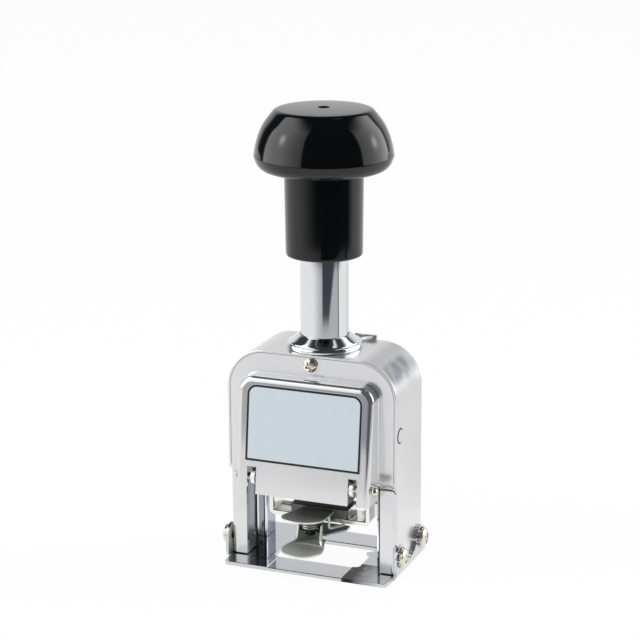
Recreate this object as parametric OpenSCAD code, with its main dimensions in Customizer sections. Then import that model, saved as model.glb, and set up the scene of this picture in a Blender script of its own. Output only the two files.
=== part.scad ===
// Automatic numbering machine with a self-inking pad.
// A sprung plunger carries five type wheels down through the window of the base, while a cam
// slot on the carriage swings the ink pad forward out of their way. A second pair of slots
// rocks the feed frame through one digit on each stroke.
// Millimetres. X is the width, -Y the front and +Z up. The origin is on the axis of the stem,
// at the level of the surface that the machine stands on.

/* [Casing] */
// Width of the casing
case_w = 65.5; // [64:0.1:68]
// Depth of the casing, front face to rear face
case_d = 27.4; // [27:0.1:32]
// Height of the casing's top
case_top = 82; // [81:0.1:95]
// Radius of the casing's top corners
case_r = 14.7; // [10:0.1:18]
// Thickness of the side walls
side_wall = 6.4; // [5.5:0.1:7]
// Thickness of the top wall
top_wall = 7.5; // [6:0.1:8]
// Thickness of the lips round the front and rear openings
lip_t = 2; // [1.2:0.1:3]
// Reach of those lips into the opening
lip_reach = 3.4; // [2.6:0.1:4]
// Height at which the band ends and the legs begin
leg_top = 35.5; // [34:0.1:38]
// Set-back of the legs' front behind the band
leg_step = 0.7; // [0.3:0.1:1.5]
// Radius of the legs' outer edges
leg_edge_r = 2.2; // [0.8:0.1:3]
// Height of the shadow groove between the band and the legs
groove_h = 1.7; // [0.8:0.1:2.5]
// Reach of the guide rails inward from the side walls
rail_reach = 4.4; // [4:0.1:4.8]
// Front-to-back width of the guide rails
rail_d = 8.8; // [6:0.1:9.4]

/* [Base] */
// Set-in of the base plate's sides from the casing's sides
base_inset = 0.65; // [0.3:0.05:1.5]
// Depth of the base plate
base_d = 44.2; // [42:0.1:50]
// Thickness of the base plate
base_t = 1.4; // [1:0.1:1.8]
// Half width of the print window
window_x = 17; // [16.6:0.1:19]
// Half depth of the print window
window_y = 10.3; // [10.1:0.1:12]
// Half width of the lowered strip in front of the window
strip_x = 14.7; // [10:0.1:16]
// Depth of the lowered strip
strip_drop = 0.25; // [0.1:0.05:0.5]
// Place of the line pointers behind the stem's axis
pointer_y = 4.6; // [2:0.1:6]
// Thickness of the upturned ears
ear_t = 1.2; // [0.8:0.1:1.6]
// Margin of the ears round their screw holes
ear_r = 4.7; // [4.3:0.1:5.5]
// Height of the dip between an ear's two lobes
ear_dip = 4; // [3.5:0.1:6]
// Outer radius of the bend from the base plate into the ears
ear_bend = 2.8; // [1.6:0.1:3.5]
// Distance of the base screws from the middle
screw_y = 11; // [10:0.1:11.8]
// Height of the base screws
screw_z = 8; // [7:0.1:9]
// Diameter of the base screws' heads
screw_head_d = 7; // [6:0.1:7.6]

/* [Front cover] */
// Width of the casing left bare on each side of the front cover
cover_margin = 6.75; // [6.4:0.05:8]
// Top of the front cover
cover_top = 73.5; // [72:0.1:75]
// Bottom of the front cover
cover_bottom = 30.4; // [29.5:0.1:31.5]
// Depth of the cover in front of the casing at its top
cover_depth = 5.4; // [5.2:0.1:8]
// Further depth gained from the cover's top to its bottom
cover_flare = 5.1; // [4.9:0.1:6]
// Radius of the cover's top corners
cover_r = 5.3; // [3:0.1:7]
// Radius of the bend between the cover's face and its sides
cover_bend = 2; // [1.2:0.1:2.6]
// Sheet thickness of the covers
cover_t = 1; // [0.8:0.1:1.1]
// Clearance of the notches inside the pad arms
notch_in = 0.5; // [0.3:0.1:0.9]
// Clearance of the notches outside the pad arms
notch_out = 1.5; // [0.5:0.1:2]
// Top of the notches
notch_top = 40.4; // [40:0.1:42]
// Margin of the cover on each side of the name plate
plate_margin = 3.7; // [2.6:0.1:6]
// Margin of the cover above the name plate
plate_top_margin = 2.7; // [2.2:0.1:5]
// Height of the name plate's lower edge above the notches
plate_low_margin = 2; // [0.5:0.1:6]
// Thickness of the name plate
plate_t = 0.3; // [0.2:0.05:0.6]

/* [Handle] */
// Overall height, to the top of the knob
total_h = 170; // [165:0.5:185]
// Radius of the knob at its rim
knob_r = 25.2; // [22:0.1:28]
// Radius of the knob's neck
neck_r = 14.1; // [12.5:0.1:15]
// Length of the knob from its top to the bottom of the neck
knob_h = 53.5; // [50:0.1:56]
// Radius of the stem tube
stem_r = 8.83; // [8.6:0.01:9.2]
// Wall of the stem tube
stem_wall = 1.2; // [0.8:0.1:1.3]
// Radius of the collar's rim
collar_r = 13.8; // [12.6:0.1:14.5]
// Height of the collar above the casing
collar_h = 5; // [4:0.1:7]
// Travel of the plunger
stroke = 21.8; // [20:0.1:21.8]

/* [Type wheels] */
// Number of type wheels
wheel_count = 5; // [3:1:5]
// Room for a spacer at each end of the row of wheels
spacer_room = 1.45; // [0.8:0.05:2.5]
// Radius of the type faces
wheel_r = 9.5; // [9.2:0.05:9.6]
// Radius of the wheel shaft
shaft_r = 2.5; // [2:0.1:3]
// Height of the wheel shaft at rest
shaft_z = 31.5; // [31.5:0.1:32.5]
// Gap between the carriage plates and the pad arms
carriage_gap = 2.8; // [2.2:0.1:3.2]
// Thickness of the carriage plates
carriage_t = 1.6; // [1.2:0.1:1.7]

/* [Ink pad] */
// Height of the pad arms' pivot
pivot_z = 36; // [35.8:0.1:36.2]
// Distance of that pivot in front of the stem's axis
pivot_y = 21; // [20.8:0.1:21.2]
// Angle through which the pad swings in one stroke
pad_swing = 75; // [70:1:78]
// Gap between the pad arms and the guide rails
arm_gap = 2.05; // [1.6:0.05:2.6]
// Thickness of the pad frame's sheet
frame_t = 1.5; // [1.2:0.1:1.6]
// Front edge of the pad frame, in front of the axis
frame_front = 6.5; // [6:0.1:7]
// Rear edge of the pad frame, behind the axis
frame_rear = 5; // [4.5:0.1:5.2]
// Thickness of the ink pad
pad_t = 3.1; // [2.6:0.1:3.3]
// Radius of the finger tabs
tab_r = 8; // [7:0.1:8.4]
// Distance of the tabs' middle in front of the axis
tab_y = 22; // [21.4:0.1:22.6]
// Distance of the guide post and its spring in front of the axis
guide_y = 15; // [14.6:0.1:15.4]
// Rise of the upper tab towards the front, in degrees
tab_rise = 8; // [6:0.5:9]
// Travel of the release lever
lever_travel = 2; // [1.5:0.1:2.1]

/* [Rear] */
// Width of the casing left bare on each side of the rear cover
rear_margin = 4.75; // [4:0.05:6]
// Depth of the rear cover's raised panel
rear_depth = 4.6; // [4.4:0.1:6]
// Height of the selector's pivot
selector_z = 52; // [48:0.1:56]
// Turn of the selector either way
selector_turn = 60; // [40:1:70]
// Travel of the lock button
lock_travel = 3; // [2:0.1:3.2]

/* [Hidden] */

$fn = 64;
// Overlap of cutting bodies past the faces they cut
eps = 0.5;
// Radial clearance of running fits
fit = 0.05;
// Gap between pieces that pass each other
gap = 0.3;

half_d = case_d / 2;
cavity_x = case_w / 2 - side_wall;
cavity_top = case_top - top_wall;
cavity_r = 4;
opening_x = cavity_x - lip_reach;
opening_top = cavity_top - lip_reach;
leg_front = half_d - leg_step;
rail_x = cavity_x - rail_reach;
rail_top = cavity_top - 4.5;
base_w = case_w - 2 * base_inset;

// Pieces that follow each other inwards from the guide rails
frame_x = rail_x - arm_gap;
arm_in = frame_x - frame_t;
plate_x = arm_in - carriage_gap - carriage_t;
cheek_t = 1.4;
cheek_x = plate_x - 0.4 - cheek_t;
wheel_pitch = 2 * (cheek_x - spacer_room) / wheel_count;

// Covers
cover_w = case_w - 2 * cover_margin;
notch_x = arm_in - notch_in;
notch_w = frame_t + notch_in + notch_out;
plate_w = cover_w - 2 * plate_margin;
plate_bottom = notch_top + plate_low_margin;
plate_h = cover_top - plate_top_margin - plate_bottom;
rear_w = case_w - 2 * rear_margin;
rear_screw_x = rear_w / 2 - 2.4;
rear_screw_z = [cover_bottom + 9.6, cover_top - 1.5];
rear_screw_l = 5;

// Front face of the cover: a plane that leans forward towards the bottom
cover_span = cover_top - cover_bottom;
face_top_y = -half_d - cover_depth;
face_tilt = atan(cover_flare / cover_span);
function face_y(z) = face_top_y - (cover_top - z) * cover_flare / cover_span;

neck_bottom = total_h - knob_h;
socket_top = neck_bottom + 11.5;
stem_bore_r = stem_r - stem_wall;

// Wheels, shaft and carriage
pad_top = shaft_z - wheel_r - gap;
yoke_t = 4;
yoke_top = cavity_top - gap;
yoke_bottom = yoke_top - yoke_t;
yoke_x = rail_x - 0.15;
yoke_y = half_d - lip_t - 0.7;
hub_z = shaft_z;
plate_low_r = 7;
cross_r = 2;
cross_z = yoke_bottom - cross_r - 0.4 - stroke;
seat_t = 1;
seat_z = cross_z + cross_r;
spring_low = seat_z + seat_t;
spring_high = neck_bottom - 2.5;
spring_r = 6;
spring_wire_r = 0.6;
wheel_face_r = wheel_r - 0.25;
rod_r = 1.4;
rod_y = 4.8;
rod_z = shaft_z + wheel_r + rod_r + 0.9;

// Pad arms: a pin on each arm's tail runs in the carriage's cam slot
eye_r = 2.9;
pivot_r = 1.2;
crank_r = 10;
crank_angle = 30;
crank_pin_r = 1.5;
frame_low = pad_top - pad_t - 0.8 - frame_t;
frame_floor = frame_low + frame_t;
tray_t = 0.8;
tray_x = 11.5;
tab_t = 0.8;
tab_root_y = frame_front + 0.8;
tab_z = pad_top - 0.7;
// Underside of the rising upper tab at a distance y in front of the axis
function tab_under(y) = tab_z - tab_t / cos(tab_rise) + (y - tab_root_y) * tan(tab_rise);
lever_t = 0.8;
lever_z = frame_low - lever_travel - 1.3 - lever_t;
flange_z = 10.3;
post_r = 1.2;
release_r = 2.8;
// Shelf of the release lever that carries its spring, and the post's head below it
shelf_z = frame_low - 1.1;
head_z = shelf_z - 1.4;
channel_top = tab_under(guide_y - 4) - lever_travel - gap - 0.1;

// Feed frame: fixed posts run in its two curved slots
feed_swing = 36;
post_y = 8.7;
feed_post_r = 1.2;
post_z = shaft_z - stroke / 2;
pawl_pin_r = 1;
pawl_r = 12.4;
pawl_angle = 36;

// Lock button, on the right-hand wall
lock_y = 9.5;
lock_head_r = 2.45;
lock_bolt_r = 1.6;
lock_z = yoke_top - stroke + 0.2 + lock_bolt_r;

// Extrudes an outline drawn in X and Z from y0 to y1
module along_y(y0, y1) {
    translate([0, y1, 0]) rotate([90, 0, 0]) linear_extrude(y1 - y0) children();
}

// Extrudes an outline drawn in Y and Z from x0 to x1
module along_x(x0, x1) {
    translate([x0, 0, 0]) rotate([90, 0, 90]) linear_extrude(x1 - x0) children();
}

// A rod along X between two places
module rod_x(x0, x1, r, y, z) {
    translate([x0, y, z]) rotate([0, 90, 0]) cylinder(r = r, h = x1 - x0);
}

// A rod along Y between two places
module rod_y(y0, y1, r, x, z) {
    translate([x, y1, z]) rotate([90, 0, 0]) cylinder(r = r, h = y1 - y0);
}

// Draws its children on the right and, mirrored, on the left
module both_sides() {
    children();
    mirror([1, 0, 0]) children();
}

// A rectangle centred on X whose two top corners are round
module arch(w, z0, z1, r) {
    translate([-w / 2, z0]) square([w, z1 - z0 - r]);
    translate([-w / 2 + r, z0]) square([w - 2 * r, z1 - z0]);
    for (s = [-1, 1]) translate([s * (w / 2 - r), z1 - r]) circle(r);
}

// A rectangle with four round corners
module round_rect(w, h, r) {
    square([w - 2 * r, h], center = true);
    square([w, h - 2 * r], center = true);
    for (sx = [-1, 1]) for (sy = [-1, 1])
        translate([sx * (w / 2 - r), sy * (h / 2 - r)]) circle(r);
}

// Direction of a path at one of its points
function heading(points, i) =
    let (d = points[min(i + 1, len(points) - 1)] - points[max(i - 1, 0)]) atan2(d[1], d[0]);

// Points beside the middle part of a path, at a distance r to the given side
function beside(points, r, side, steps) =
    [for (i = steps) let (a = heading(points, i) + side) points[i] + r * [cos(a), sin(a)]];

// Half circle round one end of a path
function round_end(points, i, r, a0) =
    [for (k = [0 : 14]) let (a = heading(points, i) + a0 + k * 180 / 14)
        points[i] + r * [cos(a), sin(a)]];

// A band with round ends that follows a list of points
module path_slot(points, r) {
    n = len(points) - 1;
    polygon(concat(
        beside(points, r, -90, [1 : 1 : n - 1]),
        round_end(points, n, r, -90),
        beside(points, r, 90, [n - 1 : -1 : 1]),
        round_end(points, 0, r, 90)
    ));
}

// A straight bar with round ends between two points of the plane
module bar(a, b, r) {
    path_slot([a, b], r);
}

// A coil spring standing on z0, with closed ends
module coil(r, wire, z0, z1, turns, steps = 14, sides = 6) {
    count = turns * steps;
    rise = (z1 - z0 - 2 * wire) / count;
    points = [
        for (i = [0 : count]) for (j = [0 : sides - 1])
            let (a = 360 * i / steps, b = 360 * j / sides, q = r + wire * cos(b))
            [q * cos(a), q * sin(a), z0 + wire + i * rise + wire * sin(b)]
    ];
    walls = [
        for (i = [0 : count - 1]) for (j = [0 : sides - 1])
            let (k = (j + 1) % sides)
            [i * sides + j, (i + 1) * sides + j, (i + 1) * sides + k, i * sides + k]
    ];
    ends = [
        [for (j = [0 : sides - 1]) j],
        [for (j = [sides - 1 : -1 : 0]) count * sides + j]
    ];
    polyhedron(points, concat(walls, ends));
}

// ---------------------------------------------------------------- casing and base

module leg_outline() {
    inner = cavity_x;
    outer = case_w / 2;
    difference() {
        translate([inner, -leg_front]) square([outer - inner, leg_front + half_d]);
        translate([outer - leg_edge_r, -leg_front - eps])
            square([leg_edge_r + eps, leg_edge_r + eps]);
    }
    translate([outer - leg_edge_r, -leg_front + leg_edge_r]) circle(leg_edge_r);
}

module casing() {
    color("gainsboro") difference() {
        union() {
            along_y(-half_d, half_d) arch(case_w, leg_top, case_top, case_r);
            both_sides() translate([0, 0, base_t])
                linear_extrude(leg_top - base_t) leg_outline();
        }
        along_y(-half_d + lip_t, half_d - lip_t) arch(2 * cavity_x, 0, cavity_top, cavity_r);
        along_y(-half_d - eps, half_d + eps) arch(2 * opening_x, 0, opening_top, cavity_r);
        translate([-cavity_x, -half_d - eps, 0]) cube([2 * cavity_x, case_d + 2 * eps, leg_top]);
        both_sides() translate([cavity_x - eps, -half_d, leg_top - groove_h])
            cube([side_wall + 2 * eps, leg_step + 0.6, groove_h]);
        translate([0, 0, cavity_top - eps]) cylinder(r = collar_r - 3.3, h = top_wall + 2 * eps);
        rod_y(-half_d - eps, -half_d + 2.5, 1, 0, case_top - 3.6);
        both_sides() rod_x(cavity_x - eps, cavity_x + 2.7, cross_r, 0, cross_z);
        both_sides() rod_x(cavity_x - eps, cavity_x + 2.2, feed_post_r, post_y, post_z);
        both_sides() for (y = [-screw_y, screw_y])
            rod_x(cavity_x - eps, case_w / 2 + eps, 1.6, y, screw_z);
        both_sides() for (z = rear_screw_z)
            rod_y(half_d - rear_screw_l, half_d + eps, 1, rear_screw_x, z);
        rod_x(case_w / 2 - 5.55, case_w / 2 + eps, lock_head_r + fit, -lock_y, lock_z);
        rod_x(cavity_x - eps, case_w / 2 - 5, lock_bolt_r + fit, -lock_y, lock_z);
    }
}

module guide_rails() {
    color("lightgray") both_sides() difference() {
        translate([rail_x, -rail_d / 2, base_t])
            cube([rail_reach, rail_d, rail_top - base_t]);
        rod_x(rail_x - eps, cavity_x + eps, cross_r, 0, cross_z);
    }
}

// Upturned ear: two round lobes about the screws, with a round dip between them
module ear() {
    inner = case_w / 2;
    outer = inner + ear_t;
    ear_y = screw_y + ear_r;
    dip_r = screw_y - ear_r;
    difference() {
        union() {
            along_x(inner, outer) difference() {
                union() {
                    translate([-ear_y, 0]) square([2 * ear_y, screw_z]);
                    for (y = [-screw_y, screw_y]) translate([y, screw_z]) circle(ear_r);
                }
                translate([0, ear_dip + dip_r]) circle(dip_r);
            }
            translate([base_w / 2 - eps, -ear_y, 0])
                cube([outer - base_w / 2 + eps, 2 * ear_y, base_t]);
        }
        along_y(-ear_y - eps, ear_y + eps) difference() {
            translate([outer - ear_bend, -eps]) square([ear_bend + eps, ear_bend + eps]);
            translate([outer - ear_bend, ear_bend]) circle(ear_bend);
        }
        for (y = [-screw_y, screw_y]) rod_x(inner - eps, outer + eps, 1.7, y, screw_z);
    }
}

module base_plate() {
    pointer = 2.4;
    color("silver") {
        difference() {
            linear_extrude(base_t) round_rect(base_w, base_d, 2);
            translate([-window_x, -window_y, -eps]) linear_extrude(base_t + 2 * eps)
                difference() {
                    translate([window_x, window_y]) round_rect(2 * window_x, 2 * window_y, 2);
                    for (x = [0, 2 * window_x]) translate([x, window_y + pointer_y])
                        circle(pointer, $fn = 4);
                }
            translate([-strip_x, -base_d / 2 - eps, base_t - strip_drop])
                cube([2 * strip_x, base_d / 2 - window_y + 2 * eps, strip_drop + eps]);
        }
        both_sides() ear();
    }
}

module base_screws() {
    seat = case_w / 2 + ear_t + 0.8;
    color("wheat") both_sides() for (y = [-screw_y, screw_y]) difference() {
        union() {
            rod_x(cavity_x + 1.2, seat, 1.6, y, screw_z);
            translate([seat, y, screw_z]) rotate([0, 90, 0])
                cylinder(r1 = screw_head_d / 2, r2 = screw_head_d / 2 - 0.3, h = 1.1);
            translate([seat + 1.1, y, screw_z]) rotate([0, 90, 0])
                cylinder(r1 = screw_head_d / 2 - 0.3, r2 = screw_head_d / 2 - 1.5, h = 0.7);
        }
        for (a = [45, 135]) translate([seat + 1.5, y, screw_z]) rotate([a, 0, 0])
            cube([1.4, 3.6, 0.8], center = true);
    }
}

module base_screw_washers() {
    inner = case_w / 2 + ear_t;
    teeth = 16;
    color("tan") both_sides() for (y = [-screw_y, screw_y]) difference() {
        along_x(inner, inner + 0.8) translate([y, screw_z]) polygon([
            for (i = [0 : 2 * teeth - 1])
                let (r = screw_head_d / 2 + (i % 2 == 0 ? 0.35 : -0.1), a = 180 * i / teeth)
                [r * cos(a), r * sin(a)]
        ]);
        rod_x(inner - eps, inner + 1.5, 1.6, y, screw_z);
    }
}

// ---------------------------------------------------------------- covers

// Outline of the cover, leaned like its face, at a distance behind the face
module cover_slice(inset, behind, thick) {
    shrink = 2 * inset;
    translate([0, face_top_y + behind, cover_top]) rotate([-face_tilt, 0, 0])
        along_y(0, thick) translate([0, inset])
            arch(cover_w - shrink, -cover_span / cos(face_tilt) - shrink, -shrink, cover_r - inset);
}

// The cover's form, or the hollow inside it when inset is the sheet's thickness
module cover_shell(inset) {
    thick = 0.01;
    r = cover_bend - inset;
    hull() {
        along_y(-half_d, -half_d + thick)
            arch(cover_w - 2 * inset, cover_bottom - inset, cover_top - inset, cover_r - inset);
        for (a = [0 : 15 : 90])
            cover_slice(inset + r * (1 - cos(a)), inset + r * (1 - sin(a)), thick);
    }
}

module front_cover() {
    notch_h = notch_top - cover_bottom;
    color("lightgray") difference() {
        cover_shell(0);
        cover_shell(cover_t);
        translate([-cover_w, -half_d - 0.005, 0]) cube([2 * cover_w, half_d, case_top]);
        translate([-cover_w, -half_d - 20, 0]) cube([2 * cover_w, 30, cover_bottom]);
        both_sides() translate([notch_x, face_y(cover_bottom) - 2, cover_bottom - eps])
            cube([notch_w, 6, notch_h + eps]);
        rod_x(-cover_w, cover_w, pivot_r, -pivot_y, pivot_z);
    }
}

module name_plate() {
    r = 3.8;
    drop = (cover_top - plate_bottom - plate_h) / cos(face_tilt);
    color("lightsteelblue") translate([0, face_top_y, cover_top]) rotate([-face_tilt, 0, 0])
        along_y(-plate_t, 0) arch(plate_w, -drop - plate_h, -drop, r);
}

module pan_screw(r, h, recess) {
    difference() {
        union() {
            cylinder(r = r, h = h * 0.55);
            translate([0, 0, h * 0.55]) cylinder(r1 = r, r2 = r * 0.62, h = h * 0.45);
        }
        for (a = [0, 90]) rotate(a) translate([0, 0, h]) cube([1.3 * r, recess, h], center = true);
    }
}

module front_cover_screw() {
    color("tan") translate([0, -half_d, case_top - 3.6]) {
        rotate([90, 0, 0]) rotate(20) pan_screw(2.6, 2, 0.7);
        rod_y(-0.1, 2.3, 1, 0, 0);
    }
}

module rear_cover() {
    panel_w = rear_w - 12;
    color("lightgray") difference() {
        union() {
            along_y(half_d, half_d + cover_t) arch(rear_w, cover_bottom, cover_top + 4, 8);
            along_y(half_d, half_d + rear_depth) arch(panel_w, cover_bottom, cover_top - 3, 5);
            along_y(half_d, half_d + cover_t) translate([6.4, cover_top])
                square([8.6, case_top + 1.6 - cover_top]);
        }
        along_y(half_d - eps, half_d + rear_depth - cover_t)
            arch(panel_w - 2 * cover_t, 0, cover_top - 3 - cover_t, 4);
        rod_y(half_d, half_d + rear_depth + eps, 1.5 + fit, 0, selector_z);
        both_sides() for (z = rear_screw_z)
            rod_y(half_d - eps, half_d + cover_t + eps, 1.1, rear_screw_x, z);
    }
}

module rear_cover_screws() {
    face = half_d + cover_t;
    color("tan") both_sides() for (z = rear_screw_z) translate([rear_screw_x, face, z]) {
        rotate([-90, 0, 0]) rotate(35) pan_screw(2, 1.5, 0.6);
        rod_y(-cover_t - rear_screw_l + 1, 0.1, 1, 0, 0);
    }
}

// ---------------------------------------------------------------- rear selector

dial_y = half_d + rear_depth;

module selector_dial() {
    color("silver") difference() {
        rod_y(dial_y, dial_y + 0.6, 13, 0, selector_z);
        rod_y(dial_y - eps, dial_y + 1, 1.5 + fit, 0, selector_z);
    }
}

module selector_shaft() {
    tip = dial_y + 4.9;
    color("tan") {
        rod_y(dial_y - cover_t - 1.6, tip + 0.4, 1.5, 0, selector_z);
        rod_y(dial_y - cover_t - 1.6, dial_y - cover_t - 0.2, 4, 0, selector_z);
        difference() {
            rod_y(tip, tip + 1.1, 2.6, 0, selector_z);
            translate([-3, tip + 0.6, selector_z - 0.35]) cube([6, 1, 0.7]);
        }
    }
}

module selector_lever() {
    y0 = dial_y + 0.8;
    color("dimgray") difference() {
        union() {
            along_y(y0, y0 + 1.5) bar([0, selector_z], [0, selector_z + 11], 2);
            rod_y(y0, y0 + 4.1, 3.8, 0, selector_z);
            rod_y(y0, y0 + 5.2, 2.4, 0, selector_z + 11);
        }
        rod_y(y0 - eps, y0 + 5, 1.5, 0, selector_z);
    }
}

// ---------------------------------------------------------------- plunger

module stem_collar() {
    spigot_r = collar_r - 3.35;
    color("gainsboro") difference() {
        translate([0, 0, case_top]) rotate_extrude() polygon([
            [0, -top_wall + 0.6], [spigot_r, -top_wall + 0.6], [spigot_r, 0],
            [collar_r - 0.5, 0], [collar_r, 0.5], [collar_r, 1.5], [collar_r - 0.4, 2.1],
            [collar_r - 1.6, 2.5], [stem_r + 1, collar_h - 0.6], [stem_r + 0.6, collar_h],
            [0, collar_h]
        ]);
        translate([0, 0, case_top - top_wall]) cylinder(r = stem_r + fit, h = top_wall + 20);
    }
}

module stem_tube() {
    low = yoke_top - 2;
    color("gainsboro") difference() {
        translate([0, 0, low]) cylinder(r = stem_r, h = socket_top - low);
        translate([0, 0, low - eps]) cylinder(r = stem_bore_r, h = socket_top - low + 2 * eps);
    }
}

module stem_plug() {
    color("darkgray") difference() {
        translate([0, 0, spring_high]) cylinder(r = stem_bore_r, h = socket_top - spring_high);
        translate([0, 0, spring_high + 2]) cylinder(r = 1.25, h = socket_top);
    }
}

// Knob: a mushroom head on a straight neck, turned about the stem's axis
module knob() {
    neck_top = total_h - 22.6;
    rim_z = total_h - 17;
    color([0.06, 0.06, 0.07]) difference() {
        rotate_extrude($fn = 96) polygon(concat(
            [[0, neck_bottom], [neck_r - 0.8, neck_bottom], [neck_r, neck_bottom + 0.8]],
            [[neck_r + 0.35, neck_top + 0.2], [knob_r - 4.9, neck_top + 0.1]],
            [
                [knob_r - 2.6, neck_top + 0.6], [knob_r - 0.9, rim_z - 3.3], [knob_r - 0.2, rim_z - 1.2],
                [knob_r, rim_z], [knob_r - 0.4, rim_z + 2.4], [knob_r - 1.1, rim_z + 4.8],
                [knob_r - 1.9, rim_z + 7], [knob_r - 3, rim_z + 9.4], [knob_r - 4.4, rim_z + 12],
                [knob_r - 6.3, rim_z + 14.4], [knob_r - 8.4, rim_z + 15.9],
                [knob_r - 11, rim_z + 16.7], [knob_r - 14.5, total_h], [0, total_h]
            ]
        ));
        translate([0, 0, neck_bottom - eps])
            cylinder(r = stem_r + 0.02, h = socket_top - neck_bottom + eps + 0.1);
        translate([0, 0, socket_top - eps]) cylinder(r = 1.35, h = knob_h);
        translate([0, 0, total_h - 8]) cylinder(r = 2.1, h = 8 + eps);
    }
}

module knob_screw() {
    head_z = total_h - 8;
    color("dimgray") difference() {
        union() {
            translate([0, 0, spring_high + 2.2]) cylinder(r = 1.2, h = head_z - spring_high - 2.2);
            translate([0, 0, head_z]) cylinder(r = 2, h = 1.8);
        }
        translate([-3, -0.3, head_z + 1]) cube([6, 0.6, 1]);
    }
}

module spring_cross_pin() {
    color("silver") rod_x(-cavity_x - 2.6, cavity_x + 2.6, cross_r, 0, cross_z);
}

module spring_seat() {
    color("tan") difference() {
        translate([0, 0, seat_z]) cylinder(r = spring_r + 0.6, h = seat_t);
        translate([0, 0, seat_z - eps]) cylinder(r = 2, h = seat_t + 2 * eps);
    }
}

module return_spring() {
    color("gray") coil(spring_r, spring_wire_r, spring_low, spring_high, 16);
}

// ---------------------------------------------------------------- carriage

// Place of the pad's drive pin, in the carriage's own frame, at a share of the stroke
function cam_point(s) =
    let (a = crank_angle - pad_swing * s)
    [-pivot_y + crank_r * cos(a), pivot_z + crank_r * sin(a) + stroke * s];

module carriage_yoke() {
    hole = spring_r + 0.9;
    color("darkgray") difference() {
        translate([-yoke_x, -yoke_y, yoke_bottom]) cube([2 * yoke_x, 2 * yoke_y, yoke_t]);
        translate([0, 0, yoke_bottom - eps]) cylinder(r = hole, h = yoke_t + 2 * eps);
        translate([0, 0, yoke_top - 2]) cylinder(r = stem_r, h = 2 + eps);
        both_sides() translate([plate_x, -6.5, yoke_bottom - eps])
            cube([carriage_t, 13, 2 + eps]);
        both_sides() for (y = [-4.5, 4.5]) translate([plate_x + carriage_t / 2, y, yoke_bottom])
            cylinder(r = 0.6, h = yoke_t + eps);
    }
}

module plate_outline() {
    cam = [for (i = [0 : 12]) cam_point(i / 12)];
    low = cam[0];
    high = cam[12];
    difference() {
        union() {
            translate([0, hub_z]) circle(plate_low_r);
            translate([-6.5, hub_z]) square([13, yoke_bottom + 2 - hub_z]);
            path_slot(cam, 3.4);
            translate([low[0], low[1] - 3.4]) square([-low[0], high[1] - low[1] + 6.8]);
        }
        path_slot(cam, crank_pin_r + 0.12);
        bar([0, cross_z], [0, cross_z + stroke], cross_r + 0.12);
        translate([0, hub_z]) circle(shaft_r);
        translate([-rod_y, rod_z]) circle(1);
    }
}

module carriage_plates() {
    color("darkkhaki") both_sides() along_x(plate_x, plate_x + carriage_t) plate_outline();
}

module carriage_screws() {
    x = plate_x + carriage_t / 2;
    color("tan") both_sides() for (y = [-4.5, 4.5]) {
        translate([x, y, yoke_bottom + 2]) cylinder(r = 0.6, h = yoke_t - 2);
    }
}

module comb_rod() {
    reach = plate_x + carriage_t;
    color("silver") {
        rod_x(-plate_x, plate_x, rod_r, -rod_y, rod_z);
        rod_x(-reach, reach, 1, -rod_y, rod_z);
    }
}

module wheel_shaft() {
    reach = plate_x + carriage_t;
    color("silver") {
        rod_x(-reach, reach, shaft_r, 0, shaft_z);
        rod_x(-reach - 1.4, reach + 1.4, shaft_r - 0.5, 0, shaft_z);
    }
}

module shaft_nuts() {
    x = plate_x + carriage_t;
    color("tan") both_sides() difference() {
        translate([x, 0, shaft_z]) rotate([0, 90, 0]) cylinder(r = shaft_r + 1.3, h = 1.1, $fn = 6);
        rod_x(x - eps, x + 2, shaft_r - 0.5, 0, shaft_z);
    }
}

module shaft_spacers() {
    x = wheel_count * wheel_pitch / 2 + 0.1;
    color("tan") both_sides() difference() {
        rod_x(x, cheek_x - 0.1, shaft_r + 1.3, 0, shaft_z);
        rod_x(x - eps, cheek_x, shaft_r, 0, shaft_z);
    }
}

module detent_comb() {
    inner = wheel_r + 0.35;
    span = wheel_count * wheel_pitch;
    color("goldenrod") difference() {
        along_x(-span / 2, span / 2) difference() {
            union() {
                translate([0, shaft_z]) difference() {
                    circle(inner + 0.5);
                    polygon([
                        [0, 0], [-0.1 * inner, inner + 1], [40, inner + 1], [40, -40],
                        [-40, -40], [-40, -2], [-10, -2]
                    ]);
                }
                translate([-rod_y, rod_z]) circle(rod_r + 1.1);
            }
            translate([0, shaft_z]) circle(inner);
            translate([-rod_y, rod_z]) circle(rod_r);
        }
        for (i = [1 : wheel_count - 1])
            translate([-span / 2 + i * wheel_pitch - 0.4, -20, shaft_z - 5]) cube([0.8, 18, 12.5]);
    }
}

// ---------------------------------------------------------------- type wheels

// Which of the seven strokes each digit is made of: top, upper right, lower right, bottom,
// lower left, upper left, middle
strokes = [
    [1, 1, 1, 1, 1, 1, 0], [0, 1, 1, 0, 0, 0, 0], [1, 1, 0, 1, 1, 0, 1], [1, 1, 1, 1, 0, 0, 1],
    [0, 1, 1, 0, 0, 1, 1], [1, 0, 1, 1, 0, 1, 1], [1, 0, 1, 1, 1, 1, 1], [1, 1, 1, 0, 0, 0, 0],
    [1, 1, 1, 1, 1, 1, 1], [1, 1, 1, 1, 0, 1, 1]
];
ratchet_w = 1.5;
ring_w = wheel_pitch - 1.5;
digit_w = ring_w - 0.6;
digit_h = 4.2;
stroke_w = 0.6;

// Centre and size of each stroke, across and along the digit
function stroke_box(k) =
    let (x = digit_w / 2 - stroke_w / 2, y = digit_h / 2 - stroke_w / 2, v = digit_h / 2)
    [
        [0, y, digit_w, stroke_w], [x, v / 2, stroke_w, v], [x, -v / 2, stroke_w, v],
        [0, -y, digit_w, stroke_w], [-x, -v / 2, stroke_w, v], [-x, v / 2, stroke_w, v],
        [0, 0, digit_w, stroke_w]
    ][k];

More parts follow.
